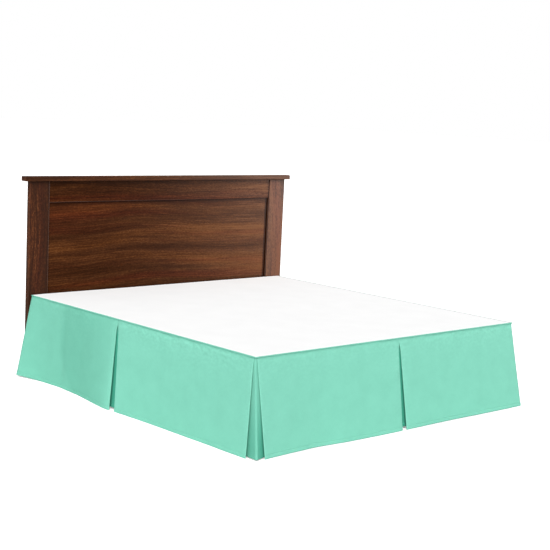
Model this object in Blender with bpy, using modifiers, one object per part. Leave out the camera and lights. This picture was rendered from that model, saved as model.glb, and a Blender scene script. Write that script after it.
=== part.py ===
"""King-size bed dressed with a tailored, pleated bed skirt.

The skirt is a flat platform cloth that lies over the foundation, with a drop sewn along each long
side and across the foot.  Each drop is one length of cloth with an inverted pleat folded into it,
and an underlay hangs behind each open foot corner.  A narrow edge band covers the joining seam.
The bed below is plain: a split foundation on a steel frame, and a panel headboard bolted to it.

Units are metres and +Z is up.  X runs across the bed, +Y points to the head, and the origin lies
on the floor under the middle of the whole bed.
"""

import math
from collections import namedtuple

import bmesh
import bpy

# ---------------------------------------------------------------- driving dimensions

BED_WIDTH = 1.981
BED_LENGTH = 2.032
DECK_TOP = 0.485
HEAD_Y = 1.029
FOOT_Y = HEAD_Y - BED_LENGTH
SIDE_X = BED_WIDTH / 2

CLOTH = 0.002
TOUCH = 0.0003
DECK_CORNER = 0.004
DECK_RIM_TOP = DECK_TOP - 0.0004
DECK_RIM_WIDTH = 0.0055
DECK_RIM_SLOPE = 0.0015
SIDE_CORNER_GAP = 0.014
FOOT_CORNER_GAP = 0.010
DROP_HEAD_SET = 0.003

BAND_CLOTH = 0.001
BAND_ON_TOP = 0.005
BAND_DOWN = 0.005
MITRE_GAP = 0.0008
SEAM_DEPTH = 0.010

LAYER_PITCH = 0.003
PLEAT_TUCK = 0.085
PLEAT_RETURN_STEP = 0.005
PLEAT_BACK_SET = 0.022
PLEAT_UNDERLAY_SET = 0.028
PLEAT_UNDERLAY_RISE = 0.009

UNDERLAY_LEG = 0.120
UNDERLAY_LEG_SHARES = (1.0, 0.6, 0.25)
UNDERLAY_INSET = 0.0045
UNDERLAY_SIDE_FALL_BACK = 0.008
UNDERLAY_FOOT_FALL_BACK = 0.034
UNDERLAY_HEM = 0.007
# How far an underlay's fold stands out past the bed's side and past its foot at the hem.
Apex = namedtuple("Apex", "side foot")
LEFT_APEX = Apex(side=0.039, foot=0.081)
RIGHT_APEX = Apex(side=0.023, foot=0.073)
UNDERLAY_RADIUS_TOP = 0.002
UNDERLAY_RADIUS_HEM = 0.012
UNDERLAY_TURN = [math.radians(angle) for angle in (8.0, 26.5, 45.0, 63.5, 82.0)]

FOUNDATION_SET = 0.012
FOUNDATION_HEIGHT = 0.2277
FOUNDATION_SPLIT = 0.004
FOUNDATION_CORNER = 0.035
FOUNDATION_EDGE = 0.012

RAIL_WIDTH = 0.035
RAIL_HEIGHT = 0.035
RAIL_X = 0.912
RAIL_FOOT_SET = 0.050
CROSSBAR_WIDTH = 0.040
CROSSBAR_HEIGHT = 0.030
CROSSBAR_REACH = 0.945
CROSSBAR_END_SET = 0.220
STEEL_EDGE = 0.003

LEG_X = 0.800
LEG_RADIUS = 0.019
GLIDE_RADIUS = 0.026
GLIDE_HEIGHT = 0.014
GLIDE_TAPER = 0.010
LEG_SIDES = 20

BRACKET_WIDTH = 0.060
BRACKET_THICKNESS = 0.006
BRACKET_BOTTOM = 0.140

HEADBOARD_HALF_WIDTH = 1.012
HEADBOARD_FRONT = HEAD_Y + 0.004
POST_WIDTH = 0.136
POST_DEPTH = 0.032
POST_TOP = 1.1607
CAP_HALF_WIDTH = 1.050
CAP_THICKNESS = 0.029
CAP_FRONT_OVERHANG = 0.014
CAP_BACK_OVERHANG = 0.004
BOARD_SET = 0.006
BOARD_DEPTH = 0.026
TOP_RAIL_HEIGHT = 0.127
PANEL_SET = 0.014
PANEL_DEPTH = 0.014
PANEL_BOTTOM = 0.320
LOW_RAIL_HEIGHT = 0.120
WOOD_EDGE = 0.002
CAP_EDGE = 0.004

FALL_ROWS = 5
PANEL_SPACING = 0.085
RETURN_LINES = 2
PLEAT_UNDERLAY_LINES = 3
FOLD_ANGLES = (math.radians(45), 0.0, math.radians(-45))
BAND_BEND_ANGLES = (math.radians(90), math.radians(60), math.radians(30), 0.0)
SHARP_ANGLE = math.radians(35)
WELD = 0.00001

DROP_TOP = DECK_TOP - CLOTH - TOUCH
FOUNDATION_BOTTOM = DROP_TOP - FOUNDATION_HEIGHT
RAIL_TOP = FOUNDATION_BOTTOM - TOUCH
CROSSBAR_TOP = RAIL_TOP - RAIL_HEIGHT - TOUCH
LEG_TOP = CROSSBAR_TOP - CROSSBAR_HEIGHT - TOUCH

# ---------------------------------------------------------------- how the cloth hangs

# One row for each place along a drop: its run in metres (from the foot along a side, or from the
# left across the foot), how far the hem stands out past the top edge, and the hem's height.
Hang = namedtuple("Hang", "run flare hem")

LEFT_HANG = (
    Hang(run=0.00, flare=0.050, hem=0.0025),
    Hang(run=0.35, flare=0.054, hem=0.0022),
    Hang(run=0.75, flare=0.060, hem=0.0022),
    Hang(run=1.00, flare=0.072, hem=0.0022),
    Hang(run=1.12, flare=0.080, hem=0.0020),
    Hang(run=1.28, flare=0.060, hem=0.0022),
    Hang(run=1.45, flare=0.037, hem=0.0028),
    Hang(run=1.65, flare=0.025, hem=0.0025),
    Hang(run=1.85, flare=0.036, hem=0.0030),
    Hang(run=2.03, flare=0.088, hem=0.0110),
)
FOOT_HANG = (
    Hang(run=0.00, flare=0.080, hem=0.0030),
    Hang(run=0.16, flare=0.071, hem=0.0042),
    Hang(run=0.36, flare=0.063, hem=0.0042),
    Hang(run=0.58, flare=0.074, hem=0.0038),
    Hang(run=0.80, flare=0.080, hem=0.0036),
    Hang(run=1.02, flare=0.079, hem=0.0036),
    Hang(run=1.35, flare=0.074, hem=0.0048),
    Hang(run=1.65, flare=0.078, hem=0.0048),
    Hang(run=1.98, flare=0.079, hem=0.0038),
)
RIGHT_HANG = (
    Hang(run=0.00, flare=0.029, hem=0.0034),
    Hang(run=0.30, flare=0.044, hem=0.0028),
    Hang(run=0.65, flare=0.052, hem=0.0023),
    Hang(run=1.00, flare=0.060, hem=0.0023),
    Hang(run=1.25, flare=0.062, hem=0.0021),
    Hang(run=1.50, flare=0.042, hem=0.0030),
    Hang(run=1.75, flare=0.044, hem=0.0028),
    Hang(run=2.03, flare=0.062, hem=0.0040),
)

# A drop's two ends, its pleat's middle or half its opening, at the top edge and at the hem.
Place = namedtuple("Place", "top hem")

# The side a drop hangs on.  `corner` is where run 0 and flare 0 meet, `along` is the direction of
# the run and `outward` the direction away from the bed.
Side = namedtuple("Side", "corner along outward hang start pleat half_gap end")

LEFT = Side(
    corner=(-SIDE_X, FOOT_Y), along=(0, 1), outward=(-1, 0), hang=LEFT_HANG,
    start=Place(top=SIDE_CORNER_GAP, hem=-0.020),
    pleat=Place(top=1.137, hem=1.062), half_gap=Place(top=0.009, hem=0.025),
    end=Place(top=BED_LENGTH - DROP_HEAD_SET, hem=BED_LENGTH + DROP_HEAD_SET),
)
FOOT = Side(
    corner=(-SIDE_X, FOOT_Y), along=(1, 0), outward=(0, -1), hang=FOOT_HANG,
    start=Place(top=FOOT_CORNER_GAP, hem=0.014),
    pleat=Place(top=1.0085, hem=1.006), half_gap=Place(top=0.0065, hem=0.020),
    end=Place(top=BED_WIDTH - FOOT_CORNER_GAP, hem=2.011),
)
RIGHT = Side(
    corner=(SIDE_X, FOOT_Y), along=(0, 1), outward=(1, 0), hang=RIGHT_HANG,
    start=Place(top=SIDE_CORNER_GAP, hem=-0.018),
    pleat=Place(top=1.040, hem=1.034), half_gap=Place(top=0.007, hem=0.022),
    end=Place(top=BED_LENGTH - DROP_HEAD_SET, hem=BED_LENGTH + DROP_HEAD_SET),
)

# One vertical line of a hanging cloth: its run, its distance out past the bed's side and its
# height, each at the top edge and at the hem.
Line = namedtuple("Line", "run_top out_top run_hem out_hem hem")

# ---------------------------------------------------------------- scene and materials


def clear_scene():
    """Remove every object that the file starts with."""
    for old in list(bpy.data.objects):
        bpy.data.objects.remove(old, do_unlink=True)


def make_material(name, colour, roughness, metallic=0.0):
    """A Principled surface of one colour."""
    material = bpy.data.materials.new(name)
    material.use_nodes = True
    shader = material.node_tree.nodes["Principled BSDF"]
    shader.inputs["Base Color"].default_value = (*colour, 1.0)
    shader.inputs["Roughness"].default_value = roughness
    shader.inputs["Metallic"].default_value = metallic
    return material


def link_object(name, mesh, material, collection):
    """Put a mesh into the collection as one named object with one material."""
    mesh.materials.append(material)
    piece = bpy.data.objects.new(name, mesh)
    collection.objects.link(piece)
    return piece


# ---------------------------------------------------------------- hanging cloth


def mix(start, end, share):
    """The value that lies `share` of the way from start to end."""
    return start + (end - start) * share


def hang_at(hang, run, column):
    """Read one column of a hang table at a run, with smooth slopes between its rows."""
    rows = [getattr(row, column) for row in hang]
    runs = [row.run for row in hang]
    if run <= runs[0]:
        return rows[0]
    if run >= runs[-1]:
        return rows[-1]
    slopes = []
    for i in range(len(rows)):
        before, after = max(i - 1, 0), min(i + 1, len(rows) - 1)
        slopes.append((rows[after] - rows[before]) / (runs[after] - runs[before]))
    i = max(k for k in range(len(runs)) if runs[k] <= run)
    step = runs[i + 1] - runs[i]
    t = (run - runs[i]) / step
    return (
        rows[i] * (1 + 2 * t) * (1 - t) ** 2
        + slopes[i] * step * t * (1 - t) ** 2
        + rows[i + 1] * t * t * (3 - 2 * t)
        + slopes[i + 1] * step * t * t * (t - 1)
    )


def panel_lines(side, start, end):
    """Lines of the flat outer layer between two places, evenly spaced along the drop."""
    count = max(2, round(abs(end.hem - start.hem) / PANEL_SPACING) + 1)
    lines = []
    for i in range(count):
        share = i / (count - 1)
        run_hem = mix(start.hem, end.hem, share)
        lines.append(Line(
            run_top=mix(start.top, end.top, share),
            out_top=-CLOTH / 2,
            run_hem=run_hem,
            out_hem=hang_at(side.hang, run_hem, "flare"),
            hem=hang_at(side.hang, run_hem, "hem"),
        ))
    return lines


def fold_lines(first, second, direction):
    """Lines round the half circle of a fold, from one layer's edge line to the next layer's.

    The two edge lines lie over each other, and the fold bulges along the run in `direction`.
    """
    radius_top = abs(first.out_top - second.out_top) / 2
    radius_hem = abs(first.out_hem - second.out_hem) / 2
    turn = 1 if first.out_top > second.out_top else -1
    lines = []
    for angle in FOLD_ANGLES:
        sideways = direction * math.cos(angle)
        outward = turn * math.sin(angle)
        lines.append(Line(
            run_top=mix(first.run_top, second.run_top, 0.5) + sideways * radius_top,
            out_top=mix(first.out_top, second.out_top, 0.5) + outward * radius_top,
            run_hem=mix(first.run_hem, second.run_hem, 0.5) + sideways * radius_hem,
            out_hem=mix(first.out_hem, second.out_hem, 0.5) + outward * radius_hem,
            hem=mix(first.hem, second.hem, 0.5),
        ))
    return lines


def between(first, second, count):
    """Lines spaced evenly between two lines, ends left out."""
    lines = []
    for i in range(1, count + 1):
        share = i / (count + 1)
        lines.append(Line(*(mix(a, b, share) for a, b in zip(first, second))))
    return lines


def half_pleat_lines(side, edge, hand):
    """Lines of half an inverted pleat, from a panel's edge line to the end of the underlay.

    The edge turns under, the return runs back behind the panel, and its far fold leads into the
    underlay behind it.  Folded flat at the top, the layers draw apart towards the hem.  `hand`
    is -1 for the panel before the pleat and 1 for the one after it.
    """
    flare = hang_at(side.hang, side.pleat.hem, "flare")
    hem = hang_at(side.hang, side.pleat.hem, "hem") + PLEAT_UNDERLAY_RISE
    tuck_top = side.pleat.top + hand * PLEAT_TUCK
    tuck_hem = side.pleat.hem + hand * PLEAT_TUCK
    return_out = -CLOTH / 2 - LAYER_PITCH
    turned = edge._replace(out_top=return_out, out_hem=edge.out_hem - PLEAT_RETURN_STEP)
    tucked = Line(run_top=tuck_top, out_top=return_out,
                  run_hem=tuck_hem, out_hem=flare - PLEAT_BACK_SET, hem=hem)
    under = tucked._replace(out_top=return_out - LAYER_PITCH, out_hem=flare - PLEAT_UNDERLAY_SET)
    lines = [edge] + fold_lines(edge, turned, -hand)
    lines += [turned] + between(turned, tucked, RETURN_LINES)
    lines += [tucked] + fold_lines(tucked, under, hand)
    return lines + [under]


def hang_cloth(name, lines, place, material, collection):
    """Loft a sheet down a row of lines and give it the cloth's thickness.

    `place` turns a run and a distance out into X and Y.  The top edge is extruded down row by
    row: straight down over the seam's depth, then in even steps out and down to the hem.
    """
    mesh = bpy.data.meshes.new(name)
    bm = bmesh.new()
    top = [bm.verts.new((*place(line.run_top, line.out_top), DROP_TOP)) for line in lines]
    row = [bm.edges.new(pair) for pair in zip(top, top[1:])]
    column = {vert: line for vert, line in zip(top, lines)}
    for step in range(FALL_ROWS + 1):
        share = step / FALL_ROWS
        grown = bmesh.ops.extrude_edge_only(bm, edges=row)["geom"]
        row = [part for part in grown if isinstance(part, bmesh.types.BMEdge)]
        above = column
        column = {}
        for vert in (part for part in grown if isinstance(part, bmesh.types.BMVert)):
            source = next(edge.other_vert(vert) for edge in vert.link_edges
                          if edge.other_vert(vert) in above)
            line = above[source]
            run = mix(line.run_top, line.run_hem, share)
            out = mix(line.out_top, line.out_hem, share)
            vert.co = (*place(run, out), mix(DROP_TOP - SEAM_DEPTH, line.hem, share))
            column[vert] = line
    bmesh.ops.recalc_face_normals(bm, faces=bm.faces)
    bm.to_mesh(mesh)
    bm.free()
    mesh.shade_smooth()
    piece = link_object(name, mesh, material, collection)
    wall = piece.modifiers.new("cloth", "SOLIDIFY")
    wall.thickness = CLOTH
    wall.offset = 0.0
    wall.use_even_offset = True
    return piece


def make_drop(name, side, material, collection):
    """One drop: panel, inverted pleat and panel, in a single length of cloth."""
    gap_top = side.half_gap.top + LAYER_PITCH / 2
    before = Place(top=side.pleat.top - gap_top, hem=side.pleat.hem - side.half_gap.hem)
    after = Place(top=side.pleat.top + gap_top, hem=side.pleat.hem + side.half_gap.hem)
    first = panel_lines(side, side.start, before)
    second = panel_lines(side, after, side.end)
    into = half_pleat_lines(side, first[-1], -1)
    out_of = half_pleat_lines(side, second[0], 1)[::-1]
    underlay = between(into[-1], out_of[0], PLEAT_UNDERLAY_LINES)
    lines = first[:-1] + into + underlay + out_of + second[1:]

    def place(run, out):
        return (
            side.corner[0] + side.along[0] * run + side.outward[0] * out,
            side.corner[1] + side.along[1] * run + side.outward[1] * out,
        )

    return hang_cloth(name, lines, place, material, collection)


def make_corner_underlay(name, hand, apex, material, collection):
    """The underlay behind an open foot corner, folded once round the corner.

    `hand` is -1 at the left corner and 1 at the right one.  Towards the hem the fold stands out
    with the panels' flare and the two legs fall back behind the panels.
    """
    # Run is measured across the bed from the corner and out is measured past the foot, so a
    # point on the side leg has a run just outside the bed's side and a negative out.
    side_leg = []
    foot_leg = []
    for share in UNDERLAY_LEG_SHARES:
        reach = UNDERLAY_LEG * share
        side_leg.append(Line(
            run_top=UNDERLAY_INSET, out_top=-UNDERLAY_INSET - reach,
            run_hem=-apex.side + UNDERLAY_SIDE_FALL_BACK * share, out_hem=apex.foot - reach,
            hem=UNDERLAY_HEM,
        ))
        foot_leg.append(Line(
            run_top=UNDERLAY_INSET + reach, out_top=-UNDERLAY_INSET,
            run_hem=-apex.side + reach, out_hem=apex.foot - UNDERLAY_FOOT_FALL_BACK * share,
            hem=UNDERLAY_HEM,
        ))
    corner = []
    for angle in UNDERLAY_TURN:
        east, south = 1 - math.cos(angle), 1 - math.sin(angle)
        corner.append(Line(
            run_top=UNDERLAY_INSET + UNDERLAY_RADIUS_TOP * east,
            out_top=-UNDERLAY_INSET - UNDERLAY_RADIUS_TOP * south,
            run_hem=-apex.side + UNDERLAY_RADIUS_HEM * east,
            out_hem=apex.foot - UNDERLAY_RADIUS_HEM * south,
            hem=UNDERLAY_HEM,
        ))
    lines = side_leg + corner + foot_leg[::-1]

    def place(run, out):
        return hand * (SIDE_X - run), FOOT_Y - out

    return hang_cloth(name, lines, place, material, collection)


# ---------------------------------------------------------------- flat cloth and edge band


def make_block(name, low, high, material, collection, edge=0.0, upright=0.0, steps=()):
    """A block between two corners, its upright edges rounded first and then all its edges.

    Each (inset, rise) pair in `steps` parts off a rectangle on the block's top, that far inside
    its sides and that much above them.
    """
    mesh = bpy.data.meshes.new(name)
    bm = bmesh.new()
    bmesh.ops.create_cube(bm, size=1.0)
    for vert in bm.verts:
        for axis in range(3):
            vert.co[axis] = mix(low[axis], high[axis], vert.co[axis] + 0.5)
    if upright:
        standing = [e for e in bm.edges if e.verts[0].co.z != e.verts[1].co.z]
        bmesh.ops.bevel(bm, geom=standing, offset=upright, segments=4, profile=0.5, affect="EDGES")
    if edge:
        rims = [e for e in bm.edges if e.calc_face_angle(0.0) > SHARP_ANGLE]
        bmesh.ops.bevel(bm, geom=rims, offset=edge, segments=2, profile=0.5, affect="EDGES")
    for inset, rise in steps:
        bm.normal_update()
        top = max(bm.faces, key=lambda face: face.calc_area() * face.normal.z)
        bmesh.ops.inset_region(bm, faces=[top], thickness=WELD)
        for vert in top.verts:
            for axis in (0, 1):
                after_middle = vert.co[axis] > (low[axis] + high[axis]) / 2
                vert.co[axis] = high[axis] - inset if after_middle else low[axis] + inset
            vert.co.z = high[2] + rise
        bmesh.ops.remove_doubles(bm, verts=top.verts, dist=WELD)
    bmesh.ops.recalc_face_normals(bm, faces=bm.faces)
    bm.to_mesh(mesh)
    bm.free()
    return link_object(name, mesh, material, collection)


def make_deck(material, collection):
    """The flat platform cloth, cut to the bed and lying on the foundation.

    Its rim is pressed a little flatter under the edge bands, so the mattress lies inside them.
    """
    low = (-SIDE_X, FOOT_Y, DECK_TOP - CLOTH)
    high = (SIDE_X, HEAD_Y, DECK_RIM_TOP)
    return make_block("deck", low, high, material, collection, upright=DECK_CORNER, steps=(
        (DECK_RIM_WIDTH, 0.0),
        (DECK_RIM_WIDTH + DECK_RIM_SLOPE, DECK_TOP - DECK_RIM_TOP),
    ))


def make_edge_band(name, start, end, outward, mitred, material, collection):
    """One length of the folded band that covers the seam between the platform and a drop.

    Its section is an L with a bent corner: a leg on the platform and a leg down over the drop.
    The section is extruded from the corner `start` to the corner `end`, and each end named in
    `mitred` is cut at 45 degrees, so the band meets the next length at the bed's corner.
    """
    lift = TOUCH + BAND_CLOTH / 2
    bend = [(lift * math.cos(angle), lift * math.sin(angle)) for angle in BAND_BEND_ANGLES]
    profile = [(-BAND_ON_TOP, lift)] + bend + [(lift, -BAND_DOWN)]
    length = math.dist(start, end)
    along = ((end[0] - start[0]) / length, (end[1] - start[1]) / length)

    def point(run, out, height):
        return (
            start[0] + along[0] * run + outward[0] * out,
            start[1] + along[1] * run + outward[1] * out,
            DECK_RIM_TOP + height,
        )

    mesh = bpy.data.meshes.new(name)
    bm = bmesh.new()
    verts = []
    for out, height in profile:
        run = MITRE_GAP - out if "start" in mitred else 0.0
        verts.append(bm.verts.new(point(run, out, height)))
    row = [bm.edges.new(pair) for pair in zip(verts, verts[1:])]
    grown = bmesh.ops.extrude_edge_only(bm, edges=row)["geom"]
    for vert in (part for part in grown if isinstance(part, bmesh.types.BMVert)):
        source = next(edge.other_vert(vert) for edge in vert.link_edges
                      if edge.other_vert(vert) in verts)
        out, height = profile[verts.index(source)]
        run = length - MITRE_GAP + out if "end" in mitred else length
        vert.co = point(run, out, height)
    bmesh.ops.recalc_face_normals(bm, faces=bm.faces)
    bm.to_mesh(mesh)
    bm.free()
    piece = link_object(name, mesh, material, collection)
    wall = piece.modifiers.new("cloth", "SOLIDIFY")
    wall.thickness = BAND_CLOTH
    wall.offset = 0.0
    wall.use_even_offset = True
    return piece


# ---------------------------------------------------------------- bed


def make_foundation(material, collection):
    """The two halves of the split foundation, side by side under the platform cloth."""
    outer = SIDE_X - FOUNDATION_SET
    inner = FOUNDATION_SPLIT / 2
    for name, low_x, high_x in (
        ("foundation_left", -outer, -inner),
        ("foundation_right", inner, outer),
    ):
        low = (low_x, FOOT_Y + FOUNDATION_SET, FOUNDATION_BOTTOM)
        high = (high_x, HEAD_Y - FOUNDATION_SET, DROP_TOP)
        make_block(name, low, high, material, collection,
                   edge=FOUNDATION_EDGE, upright=FOUNDATION_CORNER)


def make_leg(name, x, y, material, collection):
    """A round leg that widens into a flat glide on the floor, turned from one profile."""
    profile = (
        (0.0, LEG_TOP),
        (LEG_RADIUS, LEG_TOP),
        (LEG_RADIUS, GLIDE_HEIGHT + GLIDE_TAPER),
        (GLIDE_RADIUS, GLIDE_HEIGHT),
        (GLIDE_RADIUS, 0.0),
        (0.0, 0.0),
    )
    mesh = bpy.data.meshes.new(name)
    bm = bmesh.new()
    verts = [bm.verts.new((radius, 0.0, height)) for radius, height in profile]
    edges = [bm.edges.new(pair) for pair in zip(verts, verts[1:])]
    bmesh.ops.spin(bm, geom=verts + edges, cent=(0, 0, 0), axis=(0, 0, 1),
                   angle=math.tau, steps=LEG_SIDES, use_merge=True)
    bmesh.ops.remove_doubles(bm, verts=bm.verts, dist=WELD)
    bmesh.ops.recalc_face_normals(bm, faces=bm.faces)
    bm.to_mesh(mesh)
    bm.free()
    mesh.shade_smooth()
    mesh.set_sharp_from_angle(angle=SHARP_ANGLE)
    leg = link_object(name, mesh, material, collection)
    leg.location = (x, y, 0.0)
    return leg


def make_frame(steel, collection):
    """Side rails and a centre rail on three crossbars, each crossbar on three legs."""
    bracket_face = HEADBOARD_FRONT - TOUCH - BRACKET_THICKNESS
    for name, x, head_end in (
        ("rail_left", -RAIL_X, bracket_face - TOUCH),
        ("rail_centre", 0.0, HEAD_Y - RAIL_FOOT_SET),
        ("rail_right", RAIL_X, bracket_face - TOUCH),
    ):
        low = (x - RAIL_WIDTH / 2, FOOT_Y + RAIL_FOOT_SET, RAIL_TOP - RAIL_HEIGHT)
        high = (x + RAIL_WIDTH / 2, head_end, RAIL_TOP)
        make_block(name, low, high, steel, collection, edge=STEEL_EDGE)
    rows = (
        ("foot", FOOT_Y + CROSSBAR_END_SET),
        ("middle", (FOOT_Y + HEAD_Y) / 2),
        ("head", HEAD_Y - CROSSBAR_END_SET),
    )
    for row, y in rows:
        low = (-CROSSBAR_REACH, y - CROSSBAR_WIDTH / 2, CROSSBAR_TOP - CROSSBAR_HEIGHT)
        high = (CROSSBAR_REACH, y + CROSSBAR_WIDTH / 2, CROSSBAR_TOP)
        make_block("crossbar_" + row, low, high, steel, collection, edge=STEEL_EDGE)
        for hand, x in (("left", -LEG_X), ("centre", 0.0), ("right", LEG_X)):
            make_leg("leg_" + row + "_" + hand, x, y, steel, collection)


def make_headboard(wood, steel, collection):
    """Two posts to the floor, a cap, a top rail, a recessed panel, a low rail and two brackets."""
    inner = HEADBOARD_HALF_WIDTH - POST_WIDTH
    span = inner - TOUCH
    front, back = HEADBOARD_FRONT, HEADBOARD_FRONT + POST_DEPTH
    for name, low_x, high_x in (
        ("headboard_post_left", -HEADBOARD_HALF_WIDTH, -inner),
        ("headboard_post_right", inner, HEADBOARD_HALF_WIDTH),
    ):
        make_block(name, (low_x, front, 0.0), (high_x, back, POST_TOP), wood, collection,
                   edge=WOOD_EDGE)
    make_block(
        "headboard_cap",
        (-CAP_HALF_WIDTH, front - CAP_FRONT_OVERHANG, POST_TOP + TOUCH),
        (CAP_HALF_WIDTH, back + CAP_BACK_OVERHANG, POST_TOP + TOUCH + CAP_THICKNESS),
        wood, collection, edge=CAP_EDGE,
    )
    rail_bottom = POST_TOP - TOP_RAIL_HEIGHT
    board_front = front + BOARD_SET
    make_block("headboard_top_rail", (-span, board_front, rail_bottom),
               (span, board_front + BOARD_DEPTH, POST_TOP), wood, collection, edge=WOOD_EDGE)
    panel_front = front + PANEL_SET
    make_block("headboard_panel", (-span, panel_front, PANEL_BOTTOM),
               (span, panel_front + PANEL_DEPTH, rail_bottom - TOUCH), wood, collection)
    low_top = PANEL_BOTTOM - TOUCH
    make_block("headboard_low_rail", (-span, board_front, low_top - LOW_RAIL_HEIGHT),
               (span, board_front + BOARD_DEPTH, low_top), wood, collection, edge=WOOD_EDGE)
    for name, x in (("bracket_left", -RAIL_X), ("bracket_right", RAIL_X)):
        low = (x - BRACKET_WIDTH / 2, front - TOUCH - BRACKET_THICKNESS, BRACKET_BOTTOM)
        high = (x + BRACKET_WIDTH / 2, front - TOUCH, RAIL_TOP)
        make_block(name, low, high, steel, collection)


# ---------------------------------------------------------------- assembly


def main():
    clear_scene()
    bed = bpy.data.collections.new("bed_with_bed_skirt")
    bpy.context.scene.collection.children.link(bed)

    drop_cloth = make_material("drop_cloth", (0.25, 0.75, 0.55), 0.90)
    platform_cloth = make_material("platform_cloth", (0.90, 0.90, 0.89), 0.90)
    foundation_cloth = make_material("foundation_cloth", (0.78, 0.76, 0.72), 0.85)
    walnut = make_material("walnut", (0.065, 0.028, 0.014), 0.45)
    dark_steel = make_material("dark_steel", (0.06, 0.06, 0.065), 0.45, metallic=0.3)

    make_deck(platform_cloth, bed)
    make_drop("drop_left", LEFT, drop_cloth, bed)
    make_drop("drop_foot", FOOT, drop_cloth, bed)
    make_drop("drop_right", RIGHT, drop_cloth, bed)
    make_corner_underlay("corner_underlay_left", -1, LEFT_APEX, drop_cloth, bed)
    make_corner_underlay("corner_underlay_right", 1, RIGHT_APEX, drop_cloth, bed)

    foot_left, foot_right = (-SIDE_X, FOOT_Y), (SIDE_X, FOOT_Y)
    head_left, head_right = (-SIDE_X, HEAD_Y), (SIDE_X, HEAD_Y)
    make_edge_band("edge_band_left", foot_left, head_left, (-1, 0), ("start",), drop_cloth, bed)
    make_edge_band("edge_band_foot", foot_left, foot_right, (0, -1), ("start", "end"),
                   drop_cloth, bed)
    make_edge_band("edge_band_right", foot_right, head_right, (1, 0), ("start",), drop_cloth, bed)

    make_foundation(foundation_cloth, bed)
    make_frame(dark_steel, bed)
    make_headboard(walnut, dark_steel, bed)


main()
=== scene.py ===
"""The finish of a king-size bed dressed with a pleated bed skirt.

The skirt's cloths, the covered foundation, the headboard's boards and the steel frame are surfaces
worked out on grids and placed where the frame's own nodes lie.  Units are metres, +Z is up, +Y
points to the head of the bed.
"""

import math
from collections import namedtuple

import bpy
import numpy as np
from mathutils import Matrix, Vector


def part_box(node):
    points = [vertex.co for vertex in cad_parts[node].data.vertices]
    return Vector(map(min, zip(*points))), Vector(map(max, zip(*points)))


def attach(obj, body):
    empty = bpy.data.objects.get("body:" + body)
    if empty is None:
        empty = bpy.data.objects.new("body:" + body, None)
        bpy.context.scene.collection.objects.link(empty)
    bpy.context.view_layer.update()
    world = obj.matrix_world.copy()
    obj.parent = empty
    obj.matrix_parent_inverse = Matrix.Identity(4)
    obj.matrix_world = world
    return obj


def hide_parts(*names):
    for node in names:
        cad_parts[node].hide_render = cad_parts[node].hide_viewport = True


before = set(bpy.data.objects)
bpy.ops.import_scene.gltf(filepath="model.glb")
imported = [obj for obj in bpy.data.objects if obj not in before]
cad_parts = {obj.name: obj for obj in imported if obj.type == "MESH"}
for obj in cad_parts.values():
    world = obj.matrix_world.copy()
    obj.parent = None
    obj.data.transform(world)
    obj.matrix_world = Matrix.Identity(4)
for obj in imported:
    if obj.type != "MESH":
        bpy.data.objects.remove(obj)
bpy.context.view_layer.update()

# ---------------------------------------------------------------- sizes from the frame


def node_box(name):
    """The lowest and highest corner of a node as arrays."""
    low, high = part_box(name)
    return np.array(low), np.array(high)


DECK_LOW, DECK_HIGH = node_box("deck")
BED_WIDTH, BED_LENGTH, DECK_CLOTH = DECK_HIGH - DECK_LOW
SIDE_X, HEAD_Y, DECK_TOP = DECK_HIGH
FOOT_Y = DECK_LOW[1]
RIM_LOWER = 0.0004
RIM_TOP = DECK_TOP - RIM_LOWER
DROP_TOP = node_box("drop_left")[1][2]

# ---------------------------------------------------------------- sizes of the hanging cloth

CLOTH = 0.0010
SOLID_CLOTH = 0.002
SEAM_DEPTH = 0.010
SEAM_SOFTNESS = 0.025
SIDE_CORNER_GAP = 0.014
FOOT_CORNER_GAP = 0.010
DROP_HEAD_SET = 0.003
LAYER_PITCH = 0.003
PLEAT_TUCK = 0.085
PLEAT_RETURN_STEP = 0.005
PLEAT_BACK_SET = 0.022
PLEAT_UNDERLAY_SET = 0.028
PLEAT_UNDERLAY_RISE = 0.009
BAND_DOWN = 0.005
HEM_TURN = 0.018
HEM_LAYER_GAP = 0.0013

# The grid: rows crowd together below the seam and above the hem.
COLUMN_STEP = 0.009
FOLD_STEPS = 8
SEAM_ROWS = 7
FALL_ROWS = 52
ROW_CROWDING = 0.55
LAST_ROWS = (0.006, 0.002, 0.0)
HEM_FOLD_STEPS = 5
HEM_RISES = (0.35, 0.7, 1.0)


def table(kind, *rows):
    """Named rows from plain ones."""
    return [kind(*row) for row in rows]


# At each run (from the foot along a side, from the left across the foot): how far the hem stands
# out past the top edge, and the hem's height.
Hang = namedtuple("Hang", "run flare hem")
LEFT_HANG = table(
    Hang, (0.00, 0.050, 0.0025), (0.35, 0.054, 0.0022), (0.75, 0.060, 0.0022),
    (1.00, 0.072, 0.0022), (1.12, 0.080, 0.0020), (1.28, 0.060, 0.0022), (1.45, 0.037, 0.0028),
    (1.65, 0.025, 0.0025), (1.85, 0.036, 0.0030), (2.03, 0.088, 0.0110))
FOOT_HANG = table(
    Hang, (0.00, 0.080, 0.0030), (0.16, 0.071, 0.0042), (0.36, 0.063, 0.0042),
    (0.58, 0.074, 0.0038), (0.80, 0.080, 0.0036), (1.02, 0.079, 0.0036), (1.35, 0.074, 0.0048),
    (1.65, 0.078, 0.0048), (1.98, 0.079, 0.0038))
RIGHT_HANG = table(
    Hang, (0.00, 0.029, 0.0034), (0.30, 0.044, 0.0028), (0.65, 0.052, 0.0023),
    (1.00, 0.060, 0.0023), (1.25, 0.062, 0.0021), (1.50, 0.042, 0.0030), (1.75, 0.044, 0.0028),
    (2.03, 0.062, 0.0040))

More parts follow.
